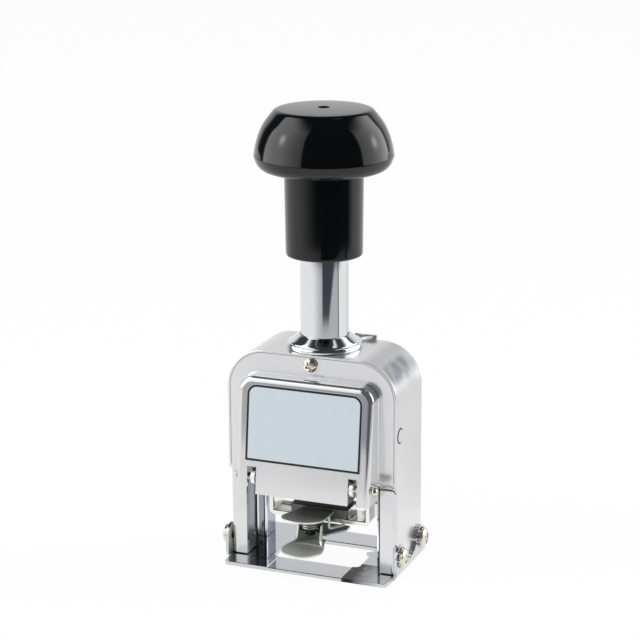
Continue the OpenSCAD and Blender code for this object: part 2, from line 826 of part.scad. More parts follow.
// A raised digit, mirrored as on a stamp, with its face wheel_face_r from the shaft
module type_digit(d) {
    deep = 0.9;
    for (k = [0 : 6]) if (strokes[d][k] == 1) {
        b = stroke_box(k);
        translate([-b[0], b[1], wheel_face_r - deep / 2]) cube([b[2], b[3], deep], center = true);
    }
}

module type_wheel(index) {
    middle = (index - (wheel_count - 1) / 2) * wheel_pitch;
    width = wheel_pitch - 0.1;
    ratchet_teeth = 10;
    color([0.25, 0.26, 0.24]) translate([middle, 0, shaft_z]) difference() {
        union() {
            translate([width / 2 - ring_w, 0, 0]) rotate([0, 90, 0])
                cylinder(r = wheel_face_r - 0.6, h = ring_w);
            translate([-width / 2, 0, 0]) rotate([90, 0, 90]) linear_extrude(ratchet_w) polygon([
                for (i = [0 : 2 * ratchet_teeth - 1])
                    let (r = i % 2 == 0 ? 7.4 : 6.4, a = 18 * i + (i % 2 == 0 ? 0 : -14))
                    [r * cos(a), r * sin(a)]
            ]);
            for (d = [0 : 9]) rotate([180 + 36 * d, 0, 0])
                translate([width / 2 - ring_w / 2, 0, 0]) type_digit(d);
        }
        rod_x(-wheel_pitch, wheel_pitch, shaft_r + fit, 0, 0);
    }
}

module type_wheel_1() { type_wheel(0); }
module type_wheel_2() { type_wheel(1); }
module type_wheel_3() { type_wheel(2); }
module type_wheel_4() { if (wheel_count > 3) type_wheel(3); }
module type_wheel_5() { if (wheel_count > 4) type_wheel(4); }

// ---------------------------------------------------------------- feed

// Place of a fixed post in the feed frame's own plane, at a share of the stroke
function feed_point(s) =
    let (z = post_z - shaft_z + stroke * s, a = -feed_swing * s)
    [post_y * cos(a) - z * sin(a), post_y * sin(a) + z * cos(a)];

module feed_frame() {
    track = [for (i = [0 : 12]) feed_point(i / 12)];
    pawl = [pawl_r * cos(pawl_angle), pawl_r * sin(pawl_angle)];
    color("darkkhaki") translate([0, 0, shaft_z]) {
        both_sides() along_x(cheek_x, cheek_x + cheek_t) difference() {
            union() {
                circle(4.4);
                path_slot(track, 2.8);
                bar([0, 0], track[6], 3);
                bar([0, 0], pawl, 2.2);
            }
            path_slot(track, feed_post_r + 0.12);
            circle(shaft_r + fit);
        }
        rod_x(-cheek_x - cheek_t, cheek_x + cheek_t, pawl_pin_r, pawl[0], pawl[1]);
    }
}

module feed_pawl() {
    pawl = [pawl_r * cos(pawl_angle), pawl_r * sin(pawl_angle)];
    finger = [[pawl_r + 1.2, 6], [pawl_r - 0.9, 12], [7.9, 22], [8.6, 14], [pawl_r - 1.8, 3]];
    span = wheel_count * wheel_pitch;
    color("goldenrod") translate([0, 0, shaft_z]) difference() {
        union() {
            rod_x(-span / 2, span / 2, 2, pawl[0], pawl[1]);
            for (i = [0 : wheel_count - 1])
                translate([-span / 2 + i * wheel_pitch + 0.15, 0, 0]) along_x(0, 1.1)
                    polygon([
                        for (f = finger)
                            [f[0] * cos(pawl_angle + f[1]), f[0] * sin(pawl_angle + f[1])]
                    ]);
        }
        rod_x(-span, span, pawl_pin_r + fit, pawl[0], pawl[1]);
    }
}

module feed_posts() {
    color("silver") both_sides()
        rod_x(cheek_x - 0.2, cavity_x + 2.1, feed_post_r, post_y, post_z);
}

// ---------------------------------------------------------------- lock button

module lock_button() {
    out = case_w / 2 + 0.2;
    color("silver") {
        rod_x(out - 2, out, lock_head_r, -lock_y, lock_z);
        rod_x(rail_x + 0.4, out - 1, lock_bolt_r, -lock_y, lock_z);
    }
}

module lock_spring() {
    floor_x = case_w / 2 - 5.55;
    color("gray") translate([0, -lock_y, lock_z]) rotate([0, 90, 0])
        coil(2, 0.2, floor_x, case_w / 2 - 1.8, 5, 12, 6);
}

// ---------------------------------------------------------------- ink pad

module pad_pivot_pin() {
    reach = cover_w / 2;
    color("tan") {
        rod_x(-reach - 0.5, reach + 0.6, pivot_r, -pivot_y, pivot_z);
        translate([reach + 1, -pivot_y, pivot_z]) sphere(1.5);
    }
}

// Side arm of the pad frame, from its foot to the eye and on to the crank
module arm_outline() {
    pivot = [-pivot_y, pivot_z];
    crank = cam_point(0);
    difference() {
        union() {
            polygon([
                [-frame_front, frame_low], [frame_rear, frame_low], [frame_rear, frame_low + 4],
                [frame_rear - 3, frame_low + 10], [-1.5, pivot_z - 1.5], [-4.5, pivot_z + eye_r],
                [-pivot_y, pivot_z + eye_r], [-pivot_y, pivot_z - eye_r],
                [-frame_front - 3, pivot_z - eye_r - 1], [-frame_front, pivot_z - 6.5]
            ]);
            translate(pivot) circle(eye_r);
            bar(pivot, crank, 2.3);
        }
        translate(pivot) circle(pivot_r + fit);
        translate(crank) circle(crank_pin_r);
    }
}

module pad_frame() {
    depth = frame_front + frame_rear;
    r = 2.2;
    color("darkkhaki") {
        both_sides() difference() {
            along_x(arm_in, frame_x) arm_outline();
            translate([frame_x - r, -frame_front - eps, frame_low - eps])
                cube([r + eps, depth + 2 * eps, r + eps]);
        }
        along_y(-frame_front, frame_rear) difference() {
            union() {
                translate([-frame_x + r, frame_low]) square([2 * (frame_x - r), frame_t]);
                for (s = [-1, 1]) translate([s * (frame_x - r), frame_low + r]) circle(r);
            }
            translate([-arm_in, frame_floor])
                square([2 * arm_in, 2 * r]);
        }
    }
}

module pad_drive_pins() {
    crank = cam_point(0);
    color("silver") both_sides() rod_x(plate_x - 0.2, frame_x, crank_pin_r, crank[0], crank[1]);
}

module pad_tray() {
    wall_top = pad_top - 1;
    front = frame_front + 0.2;
    color([0.36, 0.37, 0.33]) difference() {
        union() {
            translate([-tray_x, -front, frame_floor])
                cube([2 * tray_x, front + frame_rear - 0.6, wall_top - frame_floor]);
            translate([-5.8, -tab_root_y, wall_top - 1]) cube([11.6, 0.8, tab_z - wall_top + 1]);
            translate([0, -tab_root_y, tab_z]) rotate([-tab_rise, 0, 0])
                translate([0, 0, -tab_t]) linear_extrude(tab_t) upper_tab_outline();
            translate([0, -guide_y, head_z])
                cylinder(r = post_r, h = tab_under(guide_y) + 0.5 - head_z);
            translate([0, -guide_y, head_z]) cylinder(r = 1.9, h = 0.8);
        }
        translate([-tray_x + tray_t, -front + tray_t, frame_floor + tray_t])
            cube([2 * (tray_x - tray_t), front + frame_rear - 0.6 - 2 * tray_t, 10]);
    }
}

// Plan of the upper tab: a neck that widens into a round end
module upper_tab_outline() {
    reach = (tab_y - tab_root_y) / cos(tab_rise);
    translate([0, -reach]) circle(tab_r);
    polygon([
        [-6.3, 0.4], [-tab_r + 0.1, -reach + 1], [tab_r - 0.1, -reach + 1], [6.3, 0.4]
    ]);
}

module ink_pad() {
    front = frame_front + 0.2 - tray_t;
    color([0.12, 0.12, 0.14])
        translate([-tray_x + tray_t, -front, frame_floor + tray_t])
            cube([2 * (tray_x - tray_t), front + frame_rear - 0.6 - tray_t,
                  pad_top - frame_floor - tray_t]);
}

module pad_clip() {
    r = 0.4;
    y = guide_y - 3.2;
    z = frame_low - r - 0.1;
    color("silver") {
        translate([6, -y, z]) cylinder(r = r, h = tab_under(y - r) - z, $fn = 16);
        translate([6, -y, z]) sphere(r, $fn = 16);
        translate([6, -y, z]) rotate([0, 90, 55]) cylinder(r = r, h = 6.6, $fn = 16);
    }
}

// Release lever: plate under the pad frame, channel in front of it, and the lower finger tab
module release_lever() {
    wide = 10;
    thin = 5;
    back_y = guide_y - 4.5;
    edge_y = guide_y + 1;
    color([0.42, 0.43, 0.38]) difference() {
        union() {
            translate([0, 0, lever_z]) linear_extrude(lever_t) polygon([
                [-thin, -back_y - lever_t], [thin, -back_y - lever_t], [thin, -back_y],
                [wide, -frame_front + 3], [wide, 0.5], [-wide, 0.5],
                [-wide, -frame_front + 3], [-thin, -back_y]
            ]);
            both_sides() along_x(thin - lever_t, thin) polygon([
                [-edge_y - 2, flange_z], [-back_y, flange_z], [-back_y, channel_top],
                [-edge_y, channel_top], [-edge_y, lever_z + 2], [-edge_y - 2, flange_z + 1.5]
            ]);
            translate([-thin, -back_y - lever_t, flange_z])
                cube([2 * thin, lever_t, channel_top - flange_z]);
            translate([-thin, -edge_y, shelf_z])
                cube([2 * thin, edge_y - back_y, lever_t]);
            translate([-thin, -tab_y, flange_z]) cube([2 * thin, tab_y - back_y, lever_t]);
            lower_tab(thin);
        }
        translate([0, -guide_y, shelf_z - eps]) cylinder(r = post_r + fit, h = lever_t + 2 * eps);
    }
}

// Round end of the lower tab, whose two shoulders rise to the channel's edges
module lower_tab(thin) {
    lower_r = tab_r - 0.2;
    translate([0, -tab_y - 1, flange_z]) cylinder(r = lower_r, h = lever_t);
    both_sides() hull() {
        translate([thin - lever_t, -guide_y - 3, flange_z]) cube([lever_t, 2, 3.2]);
        translate([lower_r - 1.6, -tab_y + 0.5, flange_z]) cube([0.8, 1, lever_t]);
    }
}

module release_spring() {
    low = shelf_z + lever_t;
    color("silver") translate([0, -guide_y, 0])
        coil(release_r, 0.35, low, tab_under(guide_y - release_r - 0.35), 4, 14, 6);
}

// ---------------------------------------------------------------- nodes

casing();
guide_rails();
front_cover();
name_plate();
front_cover_screw();
rear_cover();
rear_cover_screws();
stem_collar();
base_plate();
base_screws();
base_screw_washers();
pad_pivot_pin();
spring_cross_pin();
spring_seat();
return_spring();
feed_posts();
selector_dial();
selector_lever();
selector_shaft();
lock_button();
lock_spring();
stem_tube();
stem_plug();
knob();
knob_screw();
carriage_yoke();
carriage_plates();
carriage_screws();
comb_rod();
wheel_shaft();
shaft_nuts();
shaft_spacers();
detent_comb();
type_wheel_1();
type_wheel_2();
type_wheel_3();
type_wheel_4();
type_wheel_5();
feed_frame();
feed_pawl();
pad_frame();
pad_drive_pins();
pad_tray();
ink_pad();
pad_clip();
release_lever();
release_spring();
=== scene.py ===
"""Dresses a packed numbering machine: knob, stem, case, covers, plate, base, pad and screws.

Lengths in the shape functions are millimetres in the part's own frame, and metres in Blender.
A shape is a pair: an array of points, and faces that number them.
"""

import math

import bmesh
import bpy
import numpy as np
from bpy.props import FloatProperty, FloatVectorProperty, IntProperty, PointerProperty
from mathutils import Matrix, Vector


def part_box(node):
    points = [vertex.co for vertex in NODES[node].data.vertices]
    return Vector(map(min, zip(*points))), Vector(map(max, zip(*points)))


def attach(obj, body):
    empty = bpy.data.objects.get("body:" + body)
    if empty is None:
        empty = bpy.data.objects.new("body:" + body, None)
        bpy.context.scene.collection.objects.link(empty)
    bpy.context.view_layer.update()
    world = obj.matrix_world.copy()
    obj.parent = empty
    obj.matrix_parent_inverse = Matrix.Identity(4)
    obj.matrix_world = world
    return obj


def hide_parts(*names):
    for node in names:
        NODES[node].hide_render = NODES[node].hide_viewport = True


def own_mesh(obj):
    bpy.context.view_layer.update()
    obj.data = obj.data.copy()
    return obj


bl_info = {
    "name": "Numbering machine dressing",
    "version": (1, 0, 0),
    "blender": (4, 5, 0),
    "location": "View3D > Sidebar > Machine",
    "description": "Builds the visible pieces and finishes of a hand numbering machine",
    "category": "Object",
}

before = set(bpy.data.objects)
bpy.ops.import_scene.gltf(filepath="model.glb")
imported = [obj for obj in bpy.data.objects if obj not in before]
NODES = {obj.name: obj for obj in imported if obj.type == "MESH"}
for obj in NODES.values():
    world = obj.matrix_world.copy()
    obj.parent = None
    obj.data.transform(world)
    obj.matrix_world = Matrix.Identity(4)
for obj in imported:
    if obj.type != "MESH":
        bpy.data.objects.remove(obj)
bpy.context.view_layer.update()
MM = 0.001
TO_BACK = (0, 1, 0)
FINISHES = {}


# Settings


def length(name, text, value):
    """A length in metres."""
    return FloatProperty(name=name, description=text, default=value, unit="LENGTH", precision=5)


def colour(name, text, value):
    """A linear colour."""
    return FloatVectorProperty(
        name=name, description=text, default=value, size=3, subtype="COLOR", min=0.0, max=1.0
    )


class MachineSizes(bpy.types.PropertyGroup):
    """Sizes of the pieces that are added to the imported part."""

    knob_crease: length("Knob crease", "Height of the knob's widest line", 0.1527)
    stem_radius: length("Stem radius", "Radius of the stem tube", 0.00883)
    edge_round: length("Edge rounding", "Rounding of the sheet pieces' edges", 0.00018)
    case_round: length("Case rounding", "Rounding of the case's outer edges", 0.00035)
    rail_step: length("Rail step", "Height of the rails' feet below their seam", 0.0042)
    # The seams are painted shade: black slabs in the gaps under the legs and rails.
    seam: length("Seam", "Height of the dark seams under the legs and rails", 0.00045)
    border_width: length("Border width", "Width of the name plate's black border", 0.0008)
    wire_radius: length("Clip wire", "Radius of the pad clip's wire", 0.0005)
    washer_teeth: IntProperty(
        name="Washer teeth", description="Teeth of each locking washer", default=16, min=6, max=30
    )
    turn_steps: IntProperty(
        name="Turning steps", description="Facets of a turned piece", default=128, min=32, max=256
    )


class MachineColours(bpy.types.PropertyGroup):
    """Colours of the finishes."""

    case: colour("Case", "Satin nickel of the case and covers", (0.78, 0.78, 0.79))
    chrome: colour("Chrome", "Chrome of the stem, collar and rails", (0.80, 0.81, 0.83))
    # Painted reflection: the rails' blue-grey band, inner sides and feet stand in for the dark
    # reflections in their chrome.
    rail_blue: colour("Rail band", "Blue-grey of the rails' broad band", (0.42, 0.45, 0.53))
    base: colour("Base", "Chrome of the base plate", (0.63, 0.64, 0.67))
    warm: colour("Screws", "Warm nickel of screws and pins", (0.74, 0.71, 0.62))
    knob: colour("Knob", "Black of the knob", (0.0015, 0.0015, 0.0017))
    label: colour("Label", "Pale blue-grey of the name plate", (0.60, 0.68, 0.72))
    border: colour("Border", "Black of the name plate's border", (0.003, 0.003, 0.003))
    # Painted shade: a darker copy of the lever's olive paint, for the upper tab that lies in the
    # case's shade.
    tabs: colour("Tabs", "Olive grey of the upper finger tab", (0.19, 0.20, 0.18))
    pad_frame: colour("Pad frame", "Pale grey-green of the pad frame", (0.90, 0.91, 0.86))
    tray: colour("Tray", "Dark olive of the pad tray", (0.13, 0.14, 0.12))
    # Painted light: a lighter copy of the tab's olive paint, for the lit lever and lower tab.
    lever: colour("Lever", "Grey-green of the release lever", (0.44, 0.48, 0.42))
    # The rim finish is the clip wire's own bare colour; on the tabs, the lever, the base's ears and
    # the case's lip the same pale finish is painted highlight.
    rim: colour("Rims", "Bare pale edges of the tabs and the clip", (0.80, 0.81, 0.74))
    # Painted shade: black laid on gaps, seams and pieces that lie in shadow.
    shade: colour("Shade", "Black of gaps and seams", (0.004, 0.004, 0.005))
    dark: colour("Dark steel", "Oiled steel of the inner pieces", (0.20, 0.20, 0.19))
    brass: colour("Brass", "Brass of the comb and pawl", (0.60, 0.45, 0.22))
    felt: colour("Felt", "Inked felt of the pad", (0.012, 0.012, 0.02))
    spring: colour("Springs", "Spring wire", (0.52, 0.52, 0.50))


# Shapes


def rounded(corners, share, steps=6):
    """Each corner becomes a parabola between two points on its sides.

    They lie at the share of the way to the sides' middles, so near 0 the corner stays sharp.
    """
    p = np.asarray(corners, float)
    inner = p[1:-1]
    s = np.broadcast_to(np.asarray(share, float), (len(inner),))[:, None]
    start = inner + (p[:-2] - inner) * 0.5 * s
    end = inner + (p[2:] - inner) * 0.5 * s
    t = np.linspace(0.0, 1.0, steps)[None, :, None]
    curve = (1 - t) ** 2 * start[:, None] + 2 * t * (1 - t) * inner[:, None] + t**2 * end[:, None]
    return np.vstack([p[:1], curve.reshape(-1, p.shape[1]), p[-1:]])


def smooth(x, low, high):
    """0 below low, 1 above high, and a cubic between them."""
    t = np.clip((np.asarray(x, float) - low) / (high - low), 0, 1)
    return t * t * (3 - 2 * t)


def between(x, low, high, soft):
    """1 from low to high, falling to 0 over twice soft about each of them."""
    return smooth(x, low - soft, low + soft) * (1 - smooth(x, high - soft, high + soft))


def grid_faces(rows, columns, wrap_rows=False, wrap_columns=False):
    """Four-sided faces of a grid whose point number is row times columns plus column."""
    i = np.arange(rows if wrap_rows else rows - 1)[:, None]
    j = np.arange(columns if wrap_columns else columns - 1)[None, :]
    i2, j2 = (i + 1) % rows, (j + 1) % columns
    quads = np.stack([i * columns + j, i * columns + j2, i2 * columns + j2, i2 * columns + j], -1)
    return quads.reshape(-1, 4)


def mesh_from(name, points, faces):
    """A mesh from arrays or lists of points and faces."""
    mesh = bpy.data.meshes.new(name)
    mesh.from_pydata(np.asarray(points).tolist(), [], [list(map(int, f)) for f in faces])
    return mesh


def read(items, kind, width=1, dtype=float):
    """One property of all items, as an array with a row for each."""
    values = np.empty(len(items) * width, dtype)
    items.foreach_get(kind, values)
    return values.reshape(-1, width) if width > 1 else values


def weigh_normals(mesh, sharp):
    """Each corner's normal is the sum of area times normal over the faces round its point.

    Faces at more than the sharp angle to the corner's own are left out, which keeps flat faces
    flat beside their rounded edges.
    """
    faces, corners = mesh.polygons, len(mesh.loops)
    normal, area = read(faces, "normal", 3), read(faces, "area")
    face = np.repeat(np.arange(len(faces)), read(faces, "loop_total", dtype=int))
    points = read(mesh.loops, "vertex_index", dtype=int)
    met = np.bincount(points)
    first, each = np.cumsum(met) - met, met[points]
    mine = np.repeat(np.arange(corners), each)
    step = np.arange(len(mine)) - np.repeat(np.cumsum(each) - each, each)
    other = face[np.argsort(points, kind="stable")[first[points[mine]] + step]]
    near = (normal[face[mine]] * normal[other]).sum(1) > math.cos(math.radians(sharp))
    part = normal[other] * (area[other] * near)[:, None]
    total = np.stack([np.bincount(mine, part[:, k], corners) for k in range(3)], -1)
    total /= np.maximum(np.linalg.norm(total, axis=1, keepdims=True), 1e-20)
    mesh.normals_split_custom_set(total.tolist())


def finish_piece(name, mesh, finish, body, node=None, sharp=40.0):
    """The object of a mesh, with its material, its body and the node it stands for."""
    mesh.polygons.foreach_set("use_smooth", np.ones(len(mesh.polygons), bool))
    mesh.set_sharp_from_angle(angle=math.radians(sharp))
    weigh_normals(mesh, sharp)
    piece = bpy.data.objects.new(name, mesh)
    bpy.context.scene.collection.objects.link(piece)
    mesh.materials.append(FINISHES[finish])
    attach(piece, body)
    if node:
        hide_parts(node)
    return piece


def piece_from(name, shape, finish, body, node=None, sharp=40.0):
    """A piece from a shape, a finish and the body that it rides on."""
    points, faces = shape
    mesh = mesh_from(name, np.asarray(points) * MM, faces)
    bm = bmesh.new()
    bm.from_mesh(mesh)
    bmesh.ops.remove_doubles(bm, verts=bm.verts, dist=1e-7)
    bmesh.ops.recalc_face_normals(bm, faces=bm.faces)
    bm.to_mesh(mesh)
    bm.free()
    return finish_piece(name, mesh, finish, body, node, sharp)


def dressed_copy(node, name, finish, width, body, region=None):
    """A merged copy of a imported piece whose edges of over 32 degrees are rounded to a width.

    region, if given, says which of an array of edge middles in metres may be rounded.
    """
    bm = bmesh.new()
    bm.from_mesh(NODES[node].data)
    bmesh.ops.remove_doubles(bm, verts=bm.verts, dist=3e-6)
    bmesh.ops.dissolve_limit(bm, angle_limit=math.radians(0.6), verts=bm.verts, edges=bm.edges)
    least = math.radians(32.0)
    sharp = [e for e in bm.edges if len(e.link_faces) == 2 and e.calc_face_angle(0) > least]
    if region is not None and sharp:
        middles = np.array([(e.verts[0].co + e.verts[1].co) / 2 for e in sharp])
        sharp = [e for e, keep in zip(sharp, region(middles)) if keep]
    bmesh.ops.bevel(
        bm, geom=sharp, offset=width, offset_type="OFFSET", segments=3, profile=0.5,
        affect="EDGES", clamp_overlap=True,
    )
    mesh = bpy.data.meshes.new(name)
    bm.to_mesh(mesh)
    bm.free()
    if "custom_normal" in mesh.attributes:
        mesh.attributes.remove(mesh.attributes["custom_normal"])
    return finish_piece(name, mesh, finish, body, node, 38.0)


def box_mm(node):
    """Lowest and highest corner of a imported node, in millimetres."""
    return (np.array(c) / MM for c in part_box(node))


def face_facts(piece):
    """Normals, and middles in millimetres, of a piece's faces."""
    faces = piece.data.polygons
    return read(faces, "normal", 3), read(faces, "center", 3) / MM


def paint(piece, finish, chosen):
    """Gives a further finish to the chosen faces of a piece."""
    mesh = piece.data
    index = read(mesh.polygons, "material_index", dtype=np.int32)
    mesh.materials.append(FINISHES[finish])
    index[np.asarray(chosen, bool)] = len(mesh.materials) - 1
    mesh.polygons.foreach_set("material_index", index)
    mesh.update()


def rim_highlight(piece):
    """Gives the rim finish, a painted highlight, to the faces that don't face up or down."""
    paint(piece, "rim", np.abs(face_facts(piece)[0][:, 2]) < 0.8)


def cut(piece, axis, place):
    """Divides a piece's faces along a plane across an axis, at a place in millimetres."""
    bm = bmesh.new()
    bm.from_mesh(piece.data)
    normal = np.eye(3)[axis]
    everything = bm.verts[:] + bm.edges[:] + bm.faces[:]
    bmesh.ops.bisect_plane(bm, geom=everything, plane_co=normal * place * MM, plane_no=normal)
    bm.to_mesh(piece.data)
    bm.free()


def turned(profile, steps, centre=(0.0, 0.0), closed=False):
    """Points (r cos a, r sin a, z) for each point (r, z) of a profile and each angle a."""
    p = np.asarray(profile, float)
    a = np.linspace(0.0, 2 * np.pi, steps, endpoint=False)
    x, y = centre[0] + p[:, :1] * np.cos(a), centre[1] + p[:, :1] * np.sin(a)
    points = np.stack([x, y, np.repeat(p[:, 1:2], steps, axis=1)], -1)
    return points.reshape(-1, 3), grid_faces(len(p), steps, closed, True)


def swept(path, radius, sides, normal=None):
    """A round wire: each point of the path plus radius times (cos b across, sin b up).

    across is the path's direction crossed with the normal, or with the vertical.
    """
    p = np.asarray(path, float)
    t = np.gradient(p, axis=0)
    t /= np.linalg.norm(t, axis=1, keepdims=True)
    up = np.broadcast_to(np.asarray([0, 0, 1.0] if normal is None else normal, float), p.shape)
    across = np.cross(t, up)
    across /= np.linalg.norm(across, axis=1, keepdims=True)
    up = np.cross(across, t)
    b = np.linspace(0, 2 * np.pi, sides, endpoint=False)[None, :, None]
    ring = p[:, None] + radius * (np.cos(b) * across[:, None] + np.sin(b) * up[:, None])
    ends = [np.arange(sides), np.arange(sides) + (len(p) - 1) * sides]
    return ring.reshape(-1, 3), list(grid_faces(len(p), sides, False, True)) + ends


def wire(name, path, radius, finish, body, normal=None, sides=8, node=None):
    """A round wire along a path, as a piece of its own."""
    return piece_from(name, swept(path, radius, sides, normal), finish, body, node, 60)


def coil(radius, thick, low, high, turns, steps=28):
    """A spring's middle line: radius times (cos a, sin a), at a height that rises with a.

    The first and the last turn rise by no more than the wire, so that the ends lie flat.
    """
    a = np.linspace(0, 2 * np.pi * turns, int(turns * steps))
    turn = a / (2 * np.pi)
    s = np.clip((turn - 0.9) / (turns - 1.8), 0, 1)
    flat = 2 * thick * (np.clip(turn, 0, 0.9) + np.clip(turn - turns + 0.9, 0, 0.9)) / 0.9
    z = low + thick + flat + s * (high - low - 6 * thick)
    return np.stack([radius * np.cos(a), radius * np.sin(a), z], -1)


def inset_loop(loop, distance):
    """A closed outline moved inwards along the bisectors of its corners."""
    sides = [loop - np.roll(loop, 1, axis=0), np.roll(loop, -1, axis=0) - loop]
    na, nb = (np.stack([-s[:, 1], s[:, 0]], -1) / np.linalg.norm(s, axis=1)[:, None] for s in sides)
    mid = na + nb
    mid /= np.maximum(1e-9, (mid * na).sum(1, keepdims=True))
    return loop + mid * distance


def slab(loop, low, high, edge, rounds=4, dish=0.0):
    """A plate over a closed, anticlockwise outline, with round edges of the radius edge.

    Each ring is the outline moved inwards by edge (1 - cos q) at the height edge sin q, and fans
    close the faces. With a dish, the upper face falls by dish (1 - k squared) on rings at the
    share k of the way from the middle.
    """
    q = np.linspace(0, np.pi / 2, rounds + 1)
    inset = np.concatenate([edge * (1 - np.cos(q[::-1])), edge * (1 - np.cos(q))])
    height = np.concatenate([low + edge * (1 - np.sin(q[::-1])), high - edge * (1 - np.sin(q))])
    n = len(loop)
    rings = [np.column_stack([inset_loop(loop, d), np.full(n, h)]) for d, h in zip(inset, height)]
    middle = loop.mean(0)
    if dish:
        for k in (0.9, 0.8, 0.65, 0.5, 0.35, 0.18):
            ring = middle + (inset_loop(loop, edge) - middle) * k
            rings.append(np.column_stack([ring, np.full(n, high - dish * (1 - k * k))]))
    points = np.vstack(rings + [[[*middle, low], [*middle, high - dish]]])
    first, last, top = len(points) - 2, len(points) - 1, (len(rings) - 1) * n
    faces = list(grid_faces(len(rings), n, False, True))
    faces += [(first, (i + 1) % n, i) for i in range(n)]
    faces += [(last, top + i, top + (i + 1) % n) for i in range(n)]
    return points, faces


def round_box(width, depth, radius, steps=6):
    """A rectangle about the origin with its corners on quarter circles, anticlockwise."""
    a = np.linspace(0, np.pi / 2, steps + 1)
    corners = []
    for k, (sx, sy) in enumerate([(1, 1), (-1, 1), (-1, -1), (1, -1)]):
        b = a + k * np.pi / 2
        c = (sx * (width / 2 - radius), sy * (depth / 2 - radius))
        corners.append(np.column_stack([c[0] + radius * np.cos(b), c[1] + radius * np.sin(b)]))
    return np.vstack(corners)


def arch_loop(width, low, high, radius, steps=10):
    """A rectangle with two round upper corners, anticlockwise from the lower right."""
    a = np.linspace(0, np.pi / 2, steps + 1)
    right = (width / 2 - radius, high - radius) + radius * np.column_stack([np.cos(a), np.sin(a)])
    return np.vstack([[width / 2, low], right, right[::-1] * (-1, 1), [-width / 2, low]])


def upright(loop, y):
    """Points (x, z) stood up at the depth y."""
    return np.insert(loop, 1, y, axis=1)


def placed(shape, origin, axis, turn=0.0):
    """A shape whose +Z is carried to axis, about origin, after a turn about +Z."""
    spin = Matrix.Rotation(math.radians(turn), 3, "Z")
    aim = Vector((0, 0, 1)).rotation_difference(Vector(axis)).to_matrix()
    return np.asarray(shape[0]) @ np.array((aim @ spin)).T + np.asarray(origin, float), shape[1]


def cross_head(radius, height, recess, depth, steps=72, rings=22):
    """A domed head with a cross recess, standing on z = 0.

    Its z is height times the root of 1 - 0.86 (r / radius) squared, less depth within recess of
    either arm of the cross, with soft walls.
    """
    r = np.linspace(0, 1, rings)[:, None] * radius
    a = np.linspace(0, 2 * np.pi, steps, endpoint=False)[None]
    x, y = r * np.cos(a), r * np.sin(a)
    dome = height * np.sqrt(np.clip(1 - 0.86 * (r / radius) ** 2, 0, 1)) * np.ones_like(a)
    arm = np.minimum(np.abs(x), np.abs(y)) / recess
    reach = r / (0.62 * radius)
    soft = np.clip((1.35 - arm) / 0.7, 0, 1) * np.clip((1.15 - reach) / 0.3, 0, 1)
    top = np.stack([x, y, dome - depth * soft * soft * (3 - 2 * soft)], -1)
    wall = top[-1:] * (1, 1, 0)
    points = np.concatenate([top, wall, wall * 0]).reshape(-1, 3)
    return points, grid_faces(rings + 2, steps, False, True)


def washer(teeth):
    """A ring whose outer wall waves with the teeth, and each tooth's far corner lifts."""
    a = np.linspace(0, 2 * np.pi, teeth * 8, endpoint=False)
    saw = (a * teeth / (2 * np.pi)) % 1.0
    outer = 3.45 + 0.42 * np.clip(np.abs(saw - 0.5) * 4 - 0.5, 0, 1)
    twist = 0.28 * (saw - 0.5)
    rings = [
        (1.7, 0.15), (2.9, 0.12), (outer, 0.02 + twist), (outer, 0.72 + twist * 0.4),
        (2.9, 0.78), (1.7, 0.75),
    ]
    points = [np.column_stack([r * np.cos(a), r * np.sin(a), z + 0 * a]) for r, z in rings]
    return np.vstack(points), grid_faces(len(rings), len(a), True, True)


def shovel(centre, edge, across):
    """A sheet between a middle line and two edges, for f from minus to plus a quarter turn.

    x is the edge's x times sin f, and y and z go from the middle line to the edge by 1 - cos f.
    """
    f = np.linspace(-np.pi / 2, np.pi / 2, across)[None, :, None]
    c, e = (np.asarray(v, float)[:, None] for v in (centre, edge))
    yz = c[..., 1:] + (e[..., 1:] - c[..., 1:]) * (1 - np.cos(f))
    return np.concatenate([e[..., :1] * np.sin(f), yz], -1)


def bezier(a, b, c, d, steps):
    """Points of the cubic with these four controls."""
    t = np.linspace(0, 1, steps)[:, None]
    a, b, c, d = (np.asarray(v, float) for v in (a, b, c, d))
    return (1 - t) ** 3 * a + 3 * t * (1 - t) ** 2 * b + 3 * t * t * (1 - t) * c + t**3 * d


def thickened(points, thickness):
    """Both sides of a sheet, half the thickness out along its normals, and its rim."""
    rows, columns = points.shape[:2]
    n = np.cross(np.gradient(points, axis=0), np.gradient(points, axis=1))
    n *= thickness / 2 / np.maximum(1e-9, np.linalg.norm(n, axis=2, keepdims=True))
    k = np.arange(rows * columns).reshape(rows, columns)
    rim = np.concatenate([k[0, :-1], k[:-1, -1], k[-1, :0:-1], k[:0:-1, 0]])
    nxt = np.roll(rim, -1)
    walls = np.column_stack([rim, nxt, nxt + k.size, rim + k.size])
    sheet = grid_faces(rows, columns)
    faces = np.vstack([sheet, sheet[:, ::-1] + k.size, walls])
    return np.vstack([(points + n).reshape(-1, 3), (points - n).reshape(-1, 3)]), faces


# Finishes


def add(tree, kind, inputs=None, **settings):
    """A shader node with its settings, and sockets or plain values for its inputs."""
    node = tree.nodes.new("ShaderNode" + kind)
    for name, value in settings.items():
        setattr(node, name, value)
    for name, value in (inputs or {}).items():
        if isinstance(value, bpy.types.NodeSocket):
            tree.links.new(value, node.inputs[name])
        else:
            node.inputs[name].default_value = value
    return node


def maths(tree, operation, a, b, clamp=False):
    """The result of a Math node."""
    return add(tree, "Math", {0: a, 1: b}, operation=operation, use_clamp=clamp).outputs[0]


def product(tree, first, *others):
    """The product of sockets and plain numbers."""
    for other in others:
        first = maths(tree, "MULTIPLY", first, other)
    return first


def ramp(tree, value, start, end, low=0.0, high=1.0):
    """low at start, high at end, straight between them and level beyond."""
    inputs = {"Value": value, "From Min": start, "From Max": end, "To Min": low, "To Max": high}
    return add(tree, "MapRange", inputs).outputs["Result"]


